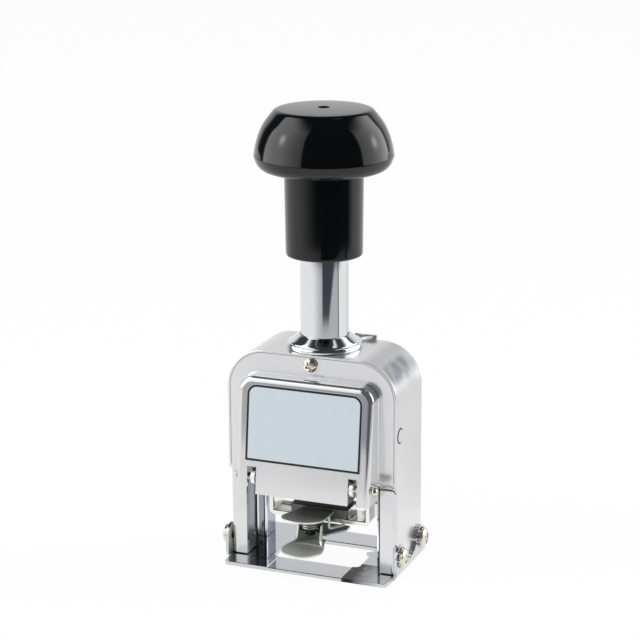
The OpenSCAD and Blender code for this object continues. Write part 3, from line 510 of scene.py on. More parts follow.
def blend(tree, factor, a, b):
    """From colour a to colour b by the factor."""
    ends = [v if isinstance(v, bpy.types.NodeSocket) else (*v, 1) for v in (a, b)]
    inputs = {"Factor": factor, "A": ends[0], "B": ends[1]}
    return add(tree, "Mix", inputs, data_type="RGBA").outputs["Result"]


def place(tree):
    """X, Y and Z of the Object coordinates, in metres."""
    return add(tree, "SeparateXYZ", {0: add(tree, "TexCoord").outputs["Object"]}).outputs


def socketed_group(name, inputs, outputs):
    """An empty shader group with its float inputs and their defaults, and its float outputs."""
    group = bpy.data.node_groups.new(name, "ShaderNodeTree")
    for label, value in inputs.items():
        kind = "NodeSocketFloat" if isinstance(value, float) else "NodeSocketVector"
        item = group.interface.new_socket(name=label, in_out="INPUT", socket_type=kind)
        item.default_value = value
    for label in outputs:
        group.interface.new_socket(name=label, in_out="OUTPUT", socket_type="NodeSocketFloat")
    source, result = group.nodes.new("NodeGroupInput"), group.nodes.new("NodeGroupOutput")
    return group, source.outputs, result.inputs


def patches_group():
    """Soft patches from noise on Object coordinates: Value is 0 to 1 around one half."""
    inputs = {"Scale": 60.0, "Contrast": 1.0, "Stretch": (1.0, 1.0, 1.0)}
    group, source, result = socketed_group("soft_patches", inputs, ["Value"])
    spot = {0: add(group, "TexCoord").outputs["Object"], 1: source["Stretch"]}
    spot = add(group, "VectorMath", spot, operation="MULTIPLY").outputs[0]
    noise = add(group, "TexNoise", {"Detail": 4.0, "Vector": spot, "Scale": source["Scale"]})
    centred = maths(group, "SUBTRACT", noise.outputs["Fac"], 0.5)
    scaled = product(group, centred, source["Contrast"])
    group.links.new(maths(group, "ADD", scaled, 0.5, True), result["Value"])


def specks_group():
    """Small round specks where a cell's middle is near: Mask is 1 in a speck."""
    inputs = {"Scale": 400.0, "Size": 0.12, "Share": 0.2}
    group, source, result = socketed_group("fine_specks", inputs, ["Mask"])
    spot = add(group, "TexCoord").outputs["Object"]
    cells = add(group, "TexVoronoi", {"Vector": spot, "Scale": source["Scale"]}).outputs
    near = maths(group, "LESS_THAN", cells["Distance"], source["Size"])
    draw = add(group, "SeparateColor", {0: cells["Color"]}).outputs[0]
    chosen = maths(group, "LESS_THAN", draw, source["Share"])
    group.links.new(product(group, near, chosen), result["Mask"])


def plate_zones_group():
    """Masks of the base plate's front corners, beside its lowered strip: Left and Right.

    Each is 1 just beyond 14.7 mm from the middle and falls to 0 at 30 mm, ahead of the window,
    and is 0 elsewhere.
    """
    group, _, result = socketed_group("plate_zones", {}, ["Left", "Right"])
    x, y, _ = place(group)
    ahead = maths(group, "LESS_THAN", y, -0.0065)
    for name, sign in [("Left", -1.0), ("Right", 1.0)]:
        across = maths(group, "MULTIPLY", x, sign)
        edges = [(0.0146, 0.0148), (0.0300, 0.0185), (0.1, 0.015)]
        beyond, within, slow = (ramp(group, across, *edge) for edge in edges)
        group.links.new(product(group, beyond, within, ahead, slow), result[name])


def grouped(tree, name, inputs=None):
    """The outputs of a group node."""
    return add(tree, "Group", inputs, node_tree=bpy.data.node_groups[name]).outputs


def patches(tree, scale, contrast=1.0, stretch=(1, 1, 1)):
    """The value of the soft patches."""
    inputs = {"Scale": scale, "Contrast": contrast, "Stretch": stretch}
    return grouped(tree, "soft_patches", inputs)["Value"]


def new_material(name):
    """A material, its node tree and its Principled shader."""
    material = bpy.data.materials.new(name)
    material.use_nodes = True
    return material, material.node_tree, material.node_tree.nodes["Principled BSDF"]


def finish(name, base, value, spread, rough, rough_spread, metallic=0.0):
    """A finish whose colour and roughness follow soft patches about their middles.

    value is the patches' scale and contrast. Gives the node tree, the shader's inputs, the
    patches' value and the colour.
    """
    FINISHES[name], tree, shader = new_material(name)
    shader.inputs["Metallic"].default_value = metallic
    value = patches(tree, *value)
    ends = ([min(1.0, c * (1 + s)) for c in base] for s in (-spread, spread))
    tone = blend(tree, value, *ends)
    rough = ramp(tree, value, 0.0, 1.0, rough - rough_spread, rough + rough_spread)
    tree.links.new(tone, shader.inputs["Base Color"])
    tree.links.new(rough, shader.inputs["Roughness"])
    return tree, shader.inputs, value, tone


def bump(tree, inputs, height, distance, strength=0.35):
    """A Bump node that feeds the shader's Normal."""
    values = {"Strength": strength, "Distance": distance, "Height": height}
    tree.links.new(add(tree, "Bump", values).outputs["Normal"], inputs["Normal"])


def case_finish(tones):
    """Satin plate with a painted reflection: a ragged, dark blue-grey patch on the right shoulder.
    """
    tree, inputs, _, tone = finish("case", tones.case, (45.0, 1.6), 0.05, 0.20, 0.05, 0.82)
    x, y, z = place(tree)
    edges = [(x, 0.0255, 0.0275), (z, 0.0690, 0.0750), (y, -0.0128, -0.0115), (y, 0.012, 0.006)]
    mask = product(tree, *(ramp(tree, *edge) for edge in edges))
    spread = maths(tree, "ADD", product(tree, patches(tree, 150.0, 3.0), 0.55), 0.35)
    factor = maths(tree, "MULTIPLY", mask, spread, True)
    tree.links.new(blend(tree, factor, tone, (0.17, 0.20, 0.24)), inputs["Base Color"])
    bump(tree, inputs, patches(tree, 900.0, 1.0, (1, 1, 0.12)), 0.00001)


def base_finish(tones):
    """Mirror chrome whose front corners turn near black in patches, the right one most."""
    tree, inputs, _, tone = finish("base", tones.base, (60.0, 1.6), 0.05, 0.10, 0.03, 1.0)
    zones = grouped(tree, "plate_zones")
    right = product(tree, zones["Right"], ramp(tree, patches(tree, 260.0, 2.6), 1.9, 0.62))
    factor = maths(tree, "ADD", right, product(tree, zones["Left"], 0.05), True)
    tree.links.new(blend(tree, factor, tone, (0.01, 0.011, 0.013)), inputs["Base Color"])
    bump(tree, inputs, patches(tree, 700.0, 1.0, (0.15, 1, 1)), 0.000005)


def knob_finish(tones):
    """Glossy black with a few pale specks of dust."""
    tree, inputs, _, tone = finish("knob", tones.knob, (35.0, 1.2), 0.15, 0.07, 0.02)
    dust = grouped(tree, "fine_specks", {"Scale": 420.0, "Size": 0.1, "Share": 0.012})["Mask"]
    tree.links.new(blend(tree, dust, tone, (0.10, 0.10, 0.10)), inputs["Base Color"])


# Plated metals: roughness, spread of colour and of roughness, the patches' scale, the grain's
# stretch, scale and depth in metres, and the metallic share
METALS = {
    "cover": (0.085, 0.04, 0.03, 50, (0.12, 1, 1), 900, 0.000006, 0.92),
    "chrome": (0.06, 0.03, 0.02, 70, (1, 1, 0.1), 700, 0.000004, 1),
    "rail": (0.14, 0.05, 0.04, 80, (1, 1, 0.1), 800, 0.000008, 1),
    "rail_blue": (0.16, 0.08, 0.04, 80, (1, 1, 0.1), 800, 0.000008, 1),
    "warm": (0.22, 0.08, 0.06, 300, (1, 1, 1), 1500, 0.00001, 1),
    "dark": (0.34, 0.12, 0.08, 160, (1, 1, 1), 1200, 0.00001, 1),
    "brass": (0.28, 0.10, 0.06, 160, (0.2, 1, 1), 1000, 0.00001, 1),
    "spring": (0.25, 0.06, 0.05, 300, (1, 1, 1), 1500, 0.000006, 1),
    "tabs": (0.45, 0.10, 0.06, 110, (1, 0.2, 1), 900, 0.00001, 0.25),
    "tray": (0.45, 0.15, 0.06, 140, (0.3, 1, 1), 900, 0.00001, 0.3),
    "lever": (0.40, 0.12, 0.06, 90, (1, 0.4, 1), 900, 0.00001, 0.25),
    "rim": (0.35, 0.06, 0.05, 200, (1, 1, 1), 1200, 0.000006, 0.5),
    "shade": (0.6, 0.3, 0.05, 200, (1, 1, 1), 1200, 0.000006, 0),
    "pad_frame": (0.16, 0.06, 0.05, 90, (0.2, 1, 1), 900, 0.000008, 0.9),
}


def build_finishes(tones):
    """All materials, by the names that the pieces use."""
    for build in (patches_group, specks_group, plate_zones_group):
        build()
    for build in (case_finish, base_finish, knob_finish):
        build(tones)
    for name, (rough, spread, rough_spread, scale, stretch, grain, depth, share) in METALS.items():
        base = getattr(tones, {"cover": "case", "rail": "chrome"}.get(name, name))
        tree, inputs, _, _ = finish(name, base, (scale, 1.6), spread, rough, rough_spread, share)
        bump(tree, inputs, patches(tree, grain, 1.0, stretch), depth)
    finish("label", tones.label, (220.0, 1.0), 0.02, 0.42, 0.05)
    finish("border", tones.border, (500.0, 1.0), 0.3, 0.38, 0.06)
    tree, inputs, fibres, _ = finish("felt", tones.felt, (1400.0, 1.8), 0.5, 0.9, 0.05)
    inputs["Sheen Weight"].default_value = 0.4
    bump(tree, inputs, fibres, 0.0002, 0.8)


# Operators


class MACHINE_OT_finishes(bpy.types.Operator):
    """Makes the materials of all pieces."""

    bl_idname = "machine.finishes"
    bl_label = "Finishes"

    def execute(self, context):
        build_finishes(context.scene.machine_colours)
        return {"FINISHED"}


class MACHINE_OT_knob(bpy.types.Operator):
    """Turns the knob: a straight neck under a head with a crisp widest line and a flat top."""

    bl_idname = "machine.knob"
    bl_label = "Knob"

    def execute(self, context):
        sizes = context.scene.machine_sizes
        corners = [
            (0, 128.0), (8.86, 128.0), (8.86, 116.6), (13.75, 116.55), (13.98, 117.4),
            (14.18, 136.0), (14.33, 147.6), (20.4, 147.45), (22.7, 148.1), (24.3, 150.0),
            (25.2, sizes.knob_crease / MM), (24.6, 156.3), (23.6, 159.9), (21.85, 163.8),
            (19.7, 166.7), (17.45, 169.35), (12.0, 169.65), (2.3, 169.85), (2.05, 169.6),
            (2.05, 162.1), (0, 162.1),
        ]
        neck, head = [0.05, 0.1, 0.3, 0.5, 0.1, 0.06], [0.9, 1, 0.9, 0.22, 1, 1, 1, 0.9]
        profile = rounded(corners, neck + head + [0.6, 0.7, 0.6, 0.3, 0.05], 8)
        piece_from("knob_turned", turned(profile, sizes.turn_steps), "knob", "plunger", "knob", 50)
        return {"FINISHED"}


class MACHINE_OT_stem(bpy.types.Operator):
    """Turns the stem tube and the collar that guides it."""

    bl_idname = "machine.stem"
    bl_label = "Stem and collar"

    def execute(self, context):
        sizes = context.scene.machine_sizes
        r, steps = sizes.stem_radius / MM, sizes.turn_steps
        tube = turned([(0, 72.3), (r, 72.3), (r, 127.9), (0, 127.9)], steps)
        piece_from("stem_turned", tube, "chrome", "plunger", "stem_tube")
        corners = [
            (8.95, 80.0), (10.4, 80.0), (10.4, 82.02), (13.3, 82.02), (13.8, 82.4), (13.8, 83.3),
            (13.55, 84.0), (13.0, 84.1), (12.75, 84.05), (12.6, 84.4), (9.5, 86.85), (9.1, 87.0),
            (8.95, 86.9), (8.95, 80.0),
        ]
        share = [0.1, 0.1, 0.2, 0.8, 0.8, 1, 0.9, 0.6, 0.8, 0.1, 0.5, 0.5]
        ring = turned(rounded(corners, share, 6), steps)
        piece_from("collar_turned", ring, "chrome", "housing", "stem_collar")
        return {"FINISHED"}


class MACHINE_OT_case(bpy.types.Operator):
    """Rounds the long edges of the case, and adds the trims of its front."""

    bl_idname = "machine.case"
    bl_label = "Case"

    def execute(self, context):
        sizes = context.scene.machine_sizes

        def outline(m):
            """Edges of the front and rear outline and of the legs, away from the holes."""
            hole = (np.abs(m[:, 0]) < 0.003) & (m[:, 2] > 0.074)
            inner = (np.abs(m[:, 0]) < 0.0262) & (m[:, 2] < 0.0745)
            return (np.abs(m[:, 1]) > 0.0128) & ~hole & ~inner

        case = dressed_copy("casing", "case_plated", "case", sizes.case_round, "housing", outline)
        # The legs' lowest points rise by the seam, which leaves the gap that the painted shade
        # slabs fill.
        low = min(v.co.z for v in case.data.vertices)
        for vertex in case.data.vertices:
            if vertex.co.z < low + 0.1 * MM:
                vertex.co.z += sizes.seam
        # Painted shade: a thin black ring in the gap round the lock button.
        ring = turned([(2.5, 0.0), (2.5, 0.04), (2.95, 0.04), (2.95, 0.0)], 48, closed=True)
        ring = placed(ring, (32.76, -9.5, 54.2), (1, 0, 0))
        piece_from("lock_ring", ring, "shade", "housing")
        self.trims()
        return {"FINISHED"}

    def trims(self):
        """The bright bead round the front face, a fine painted shade line inside it, and the band's
        lip: a painted shade gap, a painted grey shade line and a pale wire as painted highlight.
        """
        for name, inset, radius, back, tone in [
            ("case_bead", 0.2, 0.2, -13.6, "chrome"), ("case_line", 0.85, 0.09, -13.68, "shade"),
        ]:
            arch = arch_loop(65.5 - 2 * inset, 37.0, 82.0 - inset, 14.7 - inset, 24)
            wire(name, upright(arch, back), radius, tone, "housing", TO_BACK)
        for name, bend, radius, tone in [
            ("lip_seam", [(26.1, 33.8), (28.3, 34.7), (31.8, 34.7), (32.75, 33.2)], 0.2, "shade"),
            ("lip_line", [(26.7, 35.75), (30.6, 36.1), (31.7, 35.2)], 0.15, "dark"),
            ("lip_edge", [(25.9, 36.7), (27.5, 36.4), (31.0, 36.6), (32.1, 35.7)], 0.16, "rim"),
        ]:
            path = rounded(upright(bend, -13.7), 0.9, 8)
            wire(name, path, radius, tone, "housing", TO_BACK)


class MACHINE_OT_covers(bpy.types.Operator):
    """Rounds the sheet edges of the front and rear covers, and lays the name plate."""

    bl_idname = "machine.covers"
    bl_label = "Covers and name plate"

    def execute(self, context):
        sizes = context.scene.machine_sizes
        edge = sizes.edge_round
        dressed_copy("front_cover", "cover_sheet", "cover", edge, "housing")
        dressed_copy("rear_cover", "rear_sheet", "cover", edge * 2, "housing")
        low, high = box_mm("front_cover")
        foot = arch_loop(high[0] - low[0], low[2] + 8, high[2], 5.3, 14)
        wire("cover_bead", upright(foot, -13.78), 0.22, "chrome", "housing", TO_BACK)
        # Painted shade: a thin black slab stands in for the dark opening of the slot.
        slot = slab(round_box(5.0, 0.5, 0.1, 2) + (1.2, -17.0), 73.4, 73.56, 0.03, 1)
        piece_from("cover_slot", slot, "shade", "housing")
        low, high = box_mm("name_plate")
        thick, tilt = 0.3, math.atan2(5.1, 43.1)
        top = high[2] - thick * math.sin(tilt)

        def lean(points):
            """Carries plate points (across, up, out) to the leaning face of the cover."""
            x, up, out = np.asarray(points).T
            y = high[1] + up * math.sin(tilt) - out * math.cos(tilt)
            return np.column_stack([x, y, top + up * math.cos(tilt) + out * math.sin(tilt)])

        loop = arch_loop(high[0] - low[0], -(top - low[2]) / math.cos(tilt), 0, 3.8)
        points, faces = slab(loop, 0.0, 0.26, 0.06)
        piece_from("name_plate_sheet", (lean(points), faces), "label", "housing", "name_plate")
        outer = inset_loop(loop, 0.08)
        inner = inset_loop(loop, 0.08 + sizes.border_width / MM)
        levels = [(outer, 0.25), (outer, 0.29), (inner, 0.29), (inner, 0.25)]
        rings = np.vstack([np.insert(ring, 2, height, axis=1) for ring, height in levels])
        shape = lean(rings), grid_faces(4, len(loop), True, True)
        piece_from("name_plate_border", shape, "border", "housing")
        return {"FINISHED"}


class MACHINE_OT_base(bpy.types.Operator):
    """Rounds the base plate's edges and stands the guide rails on it."""

    bl_idname = "machine.base"
    bl_label = "Base and rails"

    def execute(self, context):
        sizes = context.scene.machine_sizes
        piece = dressed_copy("base_plate", "base_sheet", "base", 0.00032, "housing")
        normal, middle = face_facts(piece)
        inward = normal[:, 0] * np.sign(middle[:, 0]) < -0.7
        ear_x, plate_top = 31, 1.6
        ears = (np.abs(middle[:, 0]) > ear_x) & (middle[:, 2] > plate_top)
        # Painted light: the inner faces of the ears take the paler rim finish, so that they show
        # lighter.
        paint(piece, "rim", inward & ears)
        # Painted shade and painted reflection: black wires on the step of the lowered strip, along
        # its front edge, the plate's front edge and the window's rear edge.
        for name, start, end, radius in [
            ("strip_line_right", (14.72, -21.8, 1.16), (14.72, -10.4, 1.16), 0.16),
            ("strip_line_left", (-14.72, -21.8, 1.16), (-14.72, -10.4, 1.16), 0.08),
            ("strip_line_front", (-14.6, -21.75, 1.15), (14.6, -21.75, 1.15), 0.13),
            ("plate_line_front", (-27.0, -21.75, 1.38), (-15.0, -21.75, 1.38), 0.12),
            ("window_line_rear", (-16.4, 10.62, 1.38), (16.6, 10.62, 1.38), 0.13),
        ]:
            wire(name, np.linspace(start, end, 3), radius, "shade", "housing")
        low, high = box_mm("guide_rails")
        inner, floor, seam = 21.95, low[2], sizes.seam / MM
        joint = floor + sizes.rail_step / MM
        outer = high[0] - inner
        nose = (inner, 0) + np.array([
            (outer, -4.0), (outer, 4.3), (0.6, 4.3), (0, 3.8), (0, -3.7), (0.2, -4.2),
            (0.75, -4.38), (0.85, -4.1), (1.15, -4.1), (1.25, -4.38), (3.25, -4.38), (3.4, -4.1),
            (3.9, -4.3), (4.0, -3.9),
        ])
        for side, label in [(1, "right"), (-1, "left")]:
            loop = (nose * (side, 1))[::side]
            leg = round_box(5.6, 25.2, 0.5, 3) + (side * 29.5, 0)
            dark = inset_loop(loop, 0.12)
            # Painted reflection and shade: the rail's foot is all blue-grey, and black slabs fill
            # the gaps under the rail and under the leg.
            for name, shape, tone, node, sharp in [
                ("guide_rail", slab(loop, joint + seam, high[2], 0.05, 2), "rail",
                 "guide_rails" if side == 1 else None, 50),
                ("rail_foot", slab(loop, floor, joint, 0.05, 2), "rail_blue", None, 50),
                ("rail_seam", slab(dark, joint - 0.1, joint + seam + 0.1, 0.02, 1), "shade",
                 None, 40),
                ("leg_foot", slab(leg, floor, floor + seam + 0.2, 0.02, 1), "shade", None, 40),
            ]:
                piece = piece_from(f"{name}_{label}", shape, tone, "housing", node, sharp)
                if sharp == 50:
                    self.flutes(piece, inner)
        return {"FINISHED"}

    def flutes(self, piece, inner):
        """Puts painted shade in the grooves, and a painted blue-grey reflection on the inner side
        and the broad band of a rail's front.
        """
        normal, middle = face_facts(piece)
        across = np.abs(middle[:, 0]) - inner
        front = normal[:, 1] < -0.3
        inside = normal[:, 0] * np.sign(middle[:, 0]) < -0.8
        paint(piece, "rail_blue", (front & (across > 1.2) & (across < 3.3)) | inside)
        groove = ((across > 0.78) & (across < 1.22)) | (across > 3.92)
        paint(piece, "shade", front & groove)


class MACHINE_OT_screws(bpy.types.Operator):
    """Makes the cross-recessed screws, their locking washers and the ball of the pivot pin."""

    bl_idname = "machine.screws"
    bl_label = "Screws and washers"

    def execute(self, context):
        ring = washer(context.scene.machine_sizes.washer_teeth)
        base_head = cross_head(3.5, 1.8, 0.42, 0.75)
        rear_head = cross_head(2.0, 1.5, 0.3, 0.6, 48, 14)
        heads, washers, rear_heads = [], [], []
        for side in (1, -1):
            for k, y in enumerate((-11.0, 11.0)):
                turn = 20 + 35 * k + 10 * side
                heads.append(placed(base_head, (side * 34.72, y, 8.0), (side, 0, 0), turn))
                washers.append(placed(ring, (side * 33.97, y, 8.0), (side, 0, 0), 8 * k))
            for z in (40.0, 72.0):
                rear_heads.append(placed(rear_head, (side * 25.6, 14.7, z), TO_BACK, 15 * z))
        self.joined("base_screw_heads", heads, "base_screws")
        self.joined("lock_washers", washers, "base_screw_washers")
        head = placed(cross_head(2.6, 1.95, 0.34, 0.8, 60, 18), (0, -13.7, 78.4), (0, -1, 0), 30)
        piece_from("cover_screw_head", head, "warm", "housing", "front_cover_screw")
        self.joined("rear_screw_heads", rear_heads, "rear_cover_screws")
        ball = [
            (0, -26.55), (1.2, -26.5), (1.5, -26.3), (1.5, -26.05), (1.2, -26.0), (1.2, 25.9),
            (1.55, 26.0), (1.55, 26.2), (0.95, 26.35), (1.5, 26.75), (1.62, 27.3), (1.3, 28.1),
            (0.6, 28.5), (0, 28.5),
        ]
        share = [0.5, 0.5, 0.4, 0.2, 0.1, 0.3, 0.5, 0.8, 1, 1, 1, 0.8]
        pin = placed(turned(rounded(ball, share, 5), 40), (0, -21.0, 36.0), (1, 0, 0))
        piece_from("pivot_pin", pin, "warm", "housing", "pad_pivot_pin", 60)
        return {"FINISHED"}

    def joined(self, name, shapes, node):
        """One piece from several equal shapes."""
        points, faces = (np.array(part) for part in zip(*shapes))
        faces += np.arange(len(faces))[:, None, None] * points.shape[1]
        shape = points.reshape(-1, 3), faces.reshape(-1, 4)
        piece_from(name, shape, "warm", "housing", node, 35)


class MACHINE_OT_pad(bpy.types.Operator):
    """Makes the pad frame, the tray with its finger tab, the felt pad and the wire clip."""

    bl_idname = "machine.pad"
    bl_label = "Pad frame, tray and tab"

    def execute(self, context):
        piece = dressed_copy("pad_frame", "pad_frame_sheet", "pad_frame", 0.0003, "pad_arm")
        arm_front = -3.8
        cut(piece, 1, arm_front)
        normal, middle = face_facts(piece)
        inward = (normal[:, 0] * np.sign(middle[:, 0]) < -0.8) & (middle[:, 2] < 26)
        # Painted shade: the arms' inner faces ahead of the cut are black, and a black wire lines
        # the frame's inner front edge.
        paint(piece, "shade", inward & (middle[:, 1] < arm_front))
        bend = upright([(-18.22, 23), (-18.22, 17.98), (18.22, 17.98), (18.22, 23)], -6.5)
        wire("frame_line", rounded(bend, 0.06, 6), 0.15, "shade", "pad_arm", TO_BACK)
        low, high = box_mm("ink_pad")
        floor = low[2] - 0.8
        front, rear = -6.75, high[1] + 0.8
        centre = (0, (rear + front) / 2)
        box = slab(round_box(23.0, rear - front, 1.6) + centre, floor + 0.02, high[2] - 0.1, 0.25)
        piece = piece_from("tray_box", box, "tray", "tray", "pad_tray", 40)
        # Painted light: the tray's right side takes the frame's pale mirror finish, so that it
        # shows pale.
        paint(piece, "pad_frame", face_facts(piece)[0][:, 0] > 0.8)
        loop = round_box(21.0, rear - front - 1.8, 1.0) + centre
        piece_from("felt_pad", slab(loop, 20.5, high[2] - 0.01, 0.3), "felt", "tray", "ink_pad")
        root = slab(round_box(11.4, 1.2, 0.2, 3) + (0, -7.0), floor + 0.3, 20.9, 0.15, 2)
        piece_from("tab_root", root, "tray", "tray", None, 40)
        points, faces = slab(self.tab_outline(), 0.02, 0.78, 0.26, 4, 0.12)
        points[:, 2] += 20.2 + (-points[:, 1] - 7.3) * math.tan(math.radians(8))
        rim_highlight(piece_from("upper_tab", (points, faces), "tabs", "tray", None, 50))
        corners = [
            (0, 13.85), (1.5, 13.85), (1.9, 14.05), (1.9, 14.45), (1.2, 14.6), (1.2, 21.2),
            (0, 21.2),
        ]
        # Painted shade: the post is black so that it sinks into the shade under the tab.
        post = turned(rounded(corners, 0.3, 4), 32, (0, -15.0))
        piece_from("guide_post", post, "shade", "tray")
        bend = [(6.0, -11.8, 20.9), (6.0, -11.8, 15.8), (9.8, -6.4, 15.8), (9.9, -6.25, 15.8)]
        path = rounded(bend, [0.35, 0.3], 10)
        thin = context.scene.machine_sizes.wire_radius / MM
        wire("clip_wire", path, thin, "rim", "tray", (0.82, -0.57, 0.02), 12, "pad_clip")
        return {"FINISHED"}

    def tab_outline(self):
        """The tab seen from above: a straight root that widens along tangents to a round end."""
        radius, middle, root = 8.0, -22.0, np.array((6.3, -7.3))
        reach = math.hypot(root[0], root[1] - middle)
        first = math.atan2(root[1] - middle, root[0]) - math.acos(radius / reach)
        a = np.linspace(first, -math.pi - first, 49)
        arc = np.column_stack([radius * np.cos(a), middle + radius * np.sin(a)])
        side = root + (arc[0] - root) * np.linspace(0, 0.95, 8)[:, None]
        back = np.column_stack([np.linspace(-root[0], root[0], 7)[1:-1], np.full(5, root[1])])
        return np.vstack([side, arc, (side * (-1, 1))[::-1], back])[::-1]


class MACHINE_OT_lever(bpy.types.Operator):
    """Makes the release lever: a channel that runs down into the dished lower finger tab."""

    bl_idname = "machine.lever"
    bl_label = "Release lever"

    def execute(self, context):
        drop = np.linspace(0, 1, 14)[:, None]
        middle = np.vstack([
            (0, -10.9, 18.1) + drop * (0, -0.05, -4.6),
            bezier((0, -10.97, 13.2), (0, -11.2, 11.3), (0, -12.6, 10.9), (0, -17.5, 10.72), 24),
        ])
        edge = np.vstack([
            (4.6, -15.7, 18.1) + drop * (0.0, -1.3, -4.6),
            bezier(
                (4.62, -17.1, 13.2), (4.7, -17.4, 11.9), (5.6, -18.2, 11.2), (7.2, -21.0, 10.98), 24
            ),
        ])
        across = 33
        sheet = thickened(shovel(middle, edge, across), 0.7)
        piece = piece_from("lever_channel", sheet, "lever", "lever", "release_lever", 50)
        count, walls = len(piece.data.polygons), 2 * (len(middle) + across) - 4
        # Painted highlight: the sheet's edge walls take the pale rim finish.
        paint(piece, "rim", np.arange(count) >= count - walls)
        a = np.linspace(math.radians(8), math.radians(-188), 49)
        arc = np.column_stack([7.75 * np.cos(a), -23.0 + 7.75 * np.sin(a)])
        half = np.array([(-7.0, -19.0), (-5.3, -14.5), (-4.9, -11.2)])
        loop = np.vstack([arc, half, half[::-1] * (-1, 1)])[::-1]
        tab = slab(loop, 10.3, 11.1, 0.28, 4, 0.35)
        rim_highlight(piece_from("lower_tab", tab, "lever", "lever", None, 50))
        # Painted shade: the shelf is black so that it sinks into the shade in the channel.
        shelf = slab(round_box(8.2, 4.6, 0.3, 3) + (0, -13.3), 15.2, 16.0, 0.1, 2)
        piece_from("spring_shelf", shelf, "shade", "lever", None, 40)
        half = np.array([(5.0, -11.25), (5.0, -10.5), (10.0, -3.5), (10.0, 0.45)])
        loop = np.vstack([half, half[::-1] * (-1, 1), half[:1]])
        # Painted shade with a painted highlight: the plate is black, in the frame's shadow, with
        # pale edges.
        plate = slab(rounded(loop, 0.3, 5)[:-1], 12.2, 13.0, 0.2, 3)
        rim_highlight(piece_from("lever_plate", plate, "shade", "lever", None, 40))
        return {"FINISHED"}


class MACHINE_OT_springs(bpy.types.Operator):
    """Winds the return spring, the release spring and the lock button's spring."""

    bl_idname = "machine.springs"
    bl_label = "Springs"

    def execute(self, context):
        low, high = box_mm("return_spring")
        path = coil(6.0, 0.6, low[2], high[2], 16)
        piece = wire("return_coil", path, 0.6, "spring", "housing", None, 10, "return_spring")
        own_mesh(piece)
        low, high = box_mm("release_spring")
        path = coil(2.8, 0.35, low[2], high[2], 5) + (0, -15.0, 0)
        piece = wire("release_coil", path, 0.35, "spring", "tray", None, 10, "release_spring")
        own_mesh(piece)
        low, high = box_mm("lock_spring")
        middle = (low + high) / 2
        path = coil(2.0, 0.2, 0, high[0] - low[0], 5, 20)[:, [2, 0, 1]]
        path = path + (low[0], middle[1], middle[2])
        piece = wire("lock_coil", path, 0.2, "spring", "housing", (1, 0, 0), 8, "lock_spring")
        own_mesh(piece)
        return {"FINISHED"}


class MACHINE_OT_inner(bpy.types.Operator):
    """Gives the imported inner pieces, wheels and selector their finishes."""

    bl_idname = "machine.inner"
    bl_label = "Inner pieces"

    table = {
        "case": ["lock_button"],
        "warm": ["spring_cross_pin", "feed_posts", "selector_shaft", "shaft_nuts",
                 "pad_drive_pins"],
        "rail": ["carriage_plates", "comb_rod", "wheel_shaft"],
        "dark": ["spring_seat", "selector_lever", "stem_plug", "knob_screw", "carriage_yoke",
                 "carriage_screws", "shaft_spacers", "type_wheel_1", "type_wheel_2",
                 "type_wheel_3", "type_wheel_4", "type_wheel_5"],
        "brass": ["detent_comb", "feed_pawl"],
        "pad_frame": ["feed_frame"],
        "label": ["selector_dial"],
    }

    def execute(self, context):
        for tone, nodes in self.table.items():
            for node in nodes:
                for slot in NODES[node].material_slots:
                    slot.material = FINISHES[tone]
        return {"FINISHED"}


# Stage


def seen(tree):
    """1 for camera, glossy and transmission rays."""
    rays = add(tree, "LightPath").outputs
    either = maths(tree, "MAXIMUM", rays["Is Camera Ray"], rays["Is Glossy Ray"])
    return maths(tree, "MAXIMUM", either, rays["Is Transmission Ray"])


def stage_sheet(name, points, faces, material):
    """A stage mesh in metres."""
    mesh = mesh_from(name, points, faces)
    sheet = bpy.data.objects.new(name, mesh)
    bpy.context.scene.collection.objects.link(sheet)
    mesh.materials.append(material)
    return sheet


def build_world(scene):
    """White for what sees it directly or in a mirror, softer for the light that it casts."""
    scene.world = bpy.data.worlds.new("studio")
    scene.world.use_nodes = True
    tree = scene.world.node_tree
    back = tree.nodes["Background"].inputs
    tree.links.new(blend(tree, seen(tree), (0.56, 0.56, 0.57), (1, 1, 1)), back["Color"])
    back["Strength"].default_value = 1.0


def build_floor():
    """A pale floor that shows as white and keeps a part of the object's soft shadow."""
    material, tree, shader = new_material("floor_paper")
    tone, white_share = 0.94, 0.94
    shader.inputs["Base Color"].default_value = (tone, tone, tone, 1)
    shader.inputs["Roughness"].default_value = 0.9
    shader.inputs["Specular IOR Level"].default_value = 0.0
    glow = add(tree, "Emission", {"Strength": 1.0})
    share = product(tree, seen(tree), white_share)
    mix = add(tree, "MixShader", {0: share, 1: shader.outputs[0], 2: glow.outputs[0]})
    tree.links.new(mix.outputs[0], tree.nodes["Material Output"].inputs["Surface"])
    material.cycles.emission_sampling = "NONE"
    s, z = 6.0, -0.0001
    corners = [(-s, -s, z), (s, -s, z), (s, s, z), (-s, s, z)]
    stage_sheet("floor", corners, [(0, 1, 2, 3)], material)


def room_glow(azimuth, elevation):
    """Light of a dark room with two soft boxes and a pale screen behind the object.

    Azimuth runs from the front to the right, in degrees. Each soft box is a window in azimuth
    with an upper edge, a slope across it and a hot spot like a bell curve.
    """
    left = between(azimuth, -94, -16, 2) * (1 - smooth(elevation, 50, 66))
    left *= 2.3 - 1.4 * smooth(azimuth, -62, -14)
    left += 4.5 * np.exp(-((azimuth + 61) ** 2 + (elevation - 28) ** 2) / 32)
    right = between(azimuth, 88, 152, 2) * (1 - smooth(elevation, 38, 58))
    right *= 1.3 + 1.5 * smooth(azimuth, 88, 150)
    right += 4.0 * np.exp(-((azimuth - 121) ** 2 + (elevation - 18.5) ** 2) / 30)
    screen = between(azimuth, 158, 240, 6) * (1 - smooth(elevation, 18, 42)) * 0.8
    ceiling = between(azimuth, 94, 126, 3) * between(elevation, 69, 81, 2) * 0.8
    return 0.05 + left + right + screen + ceiling


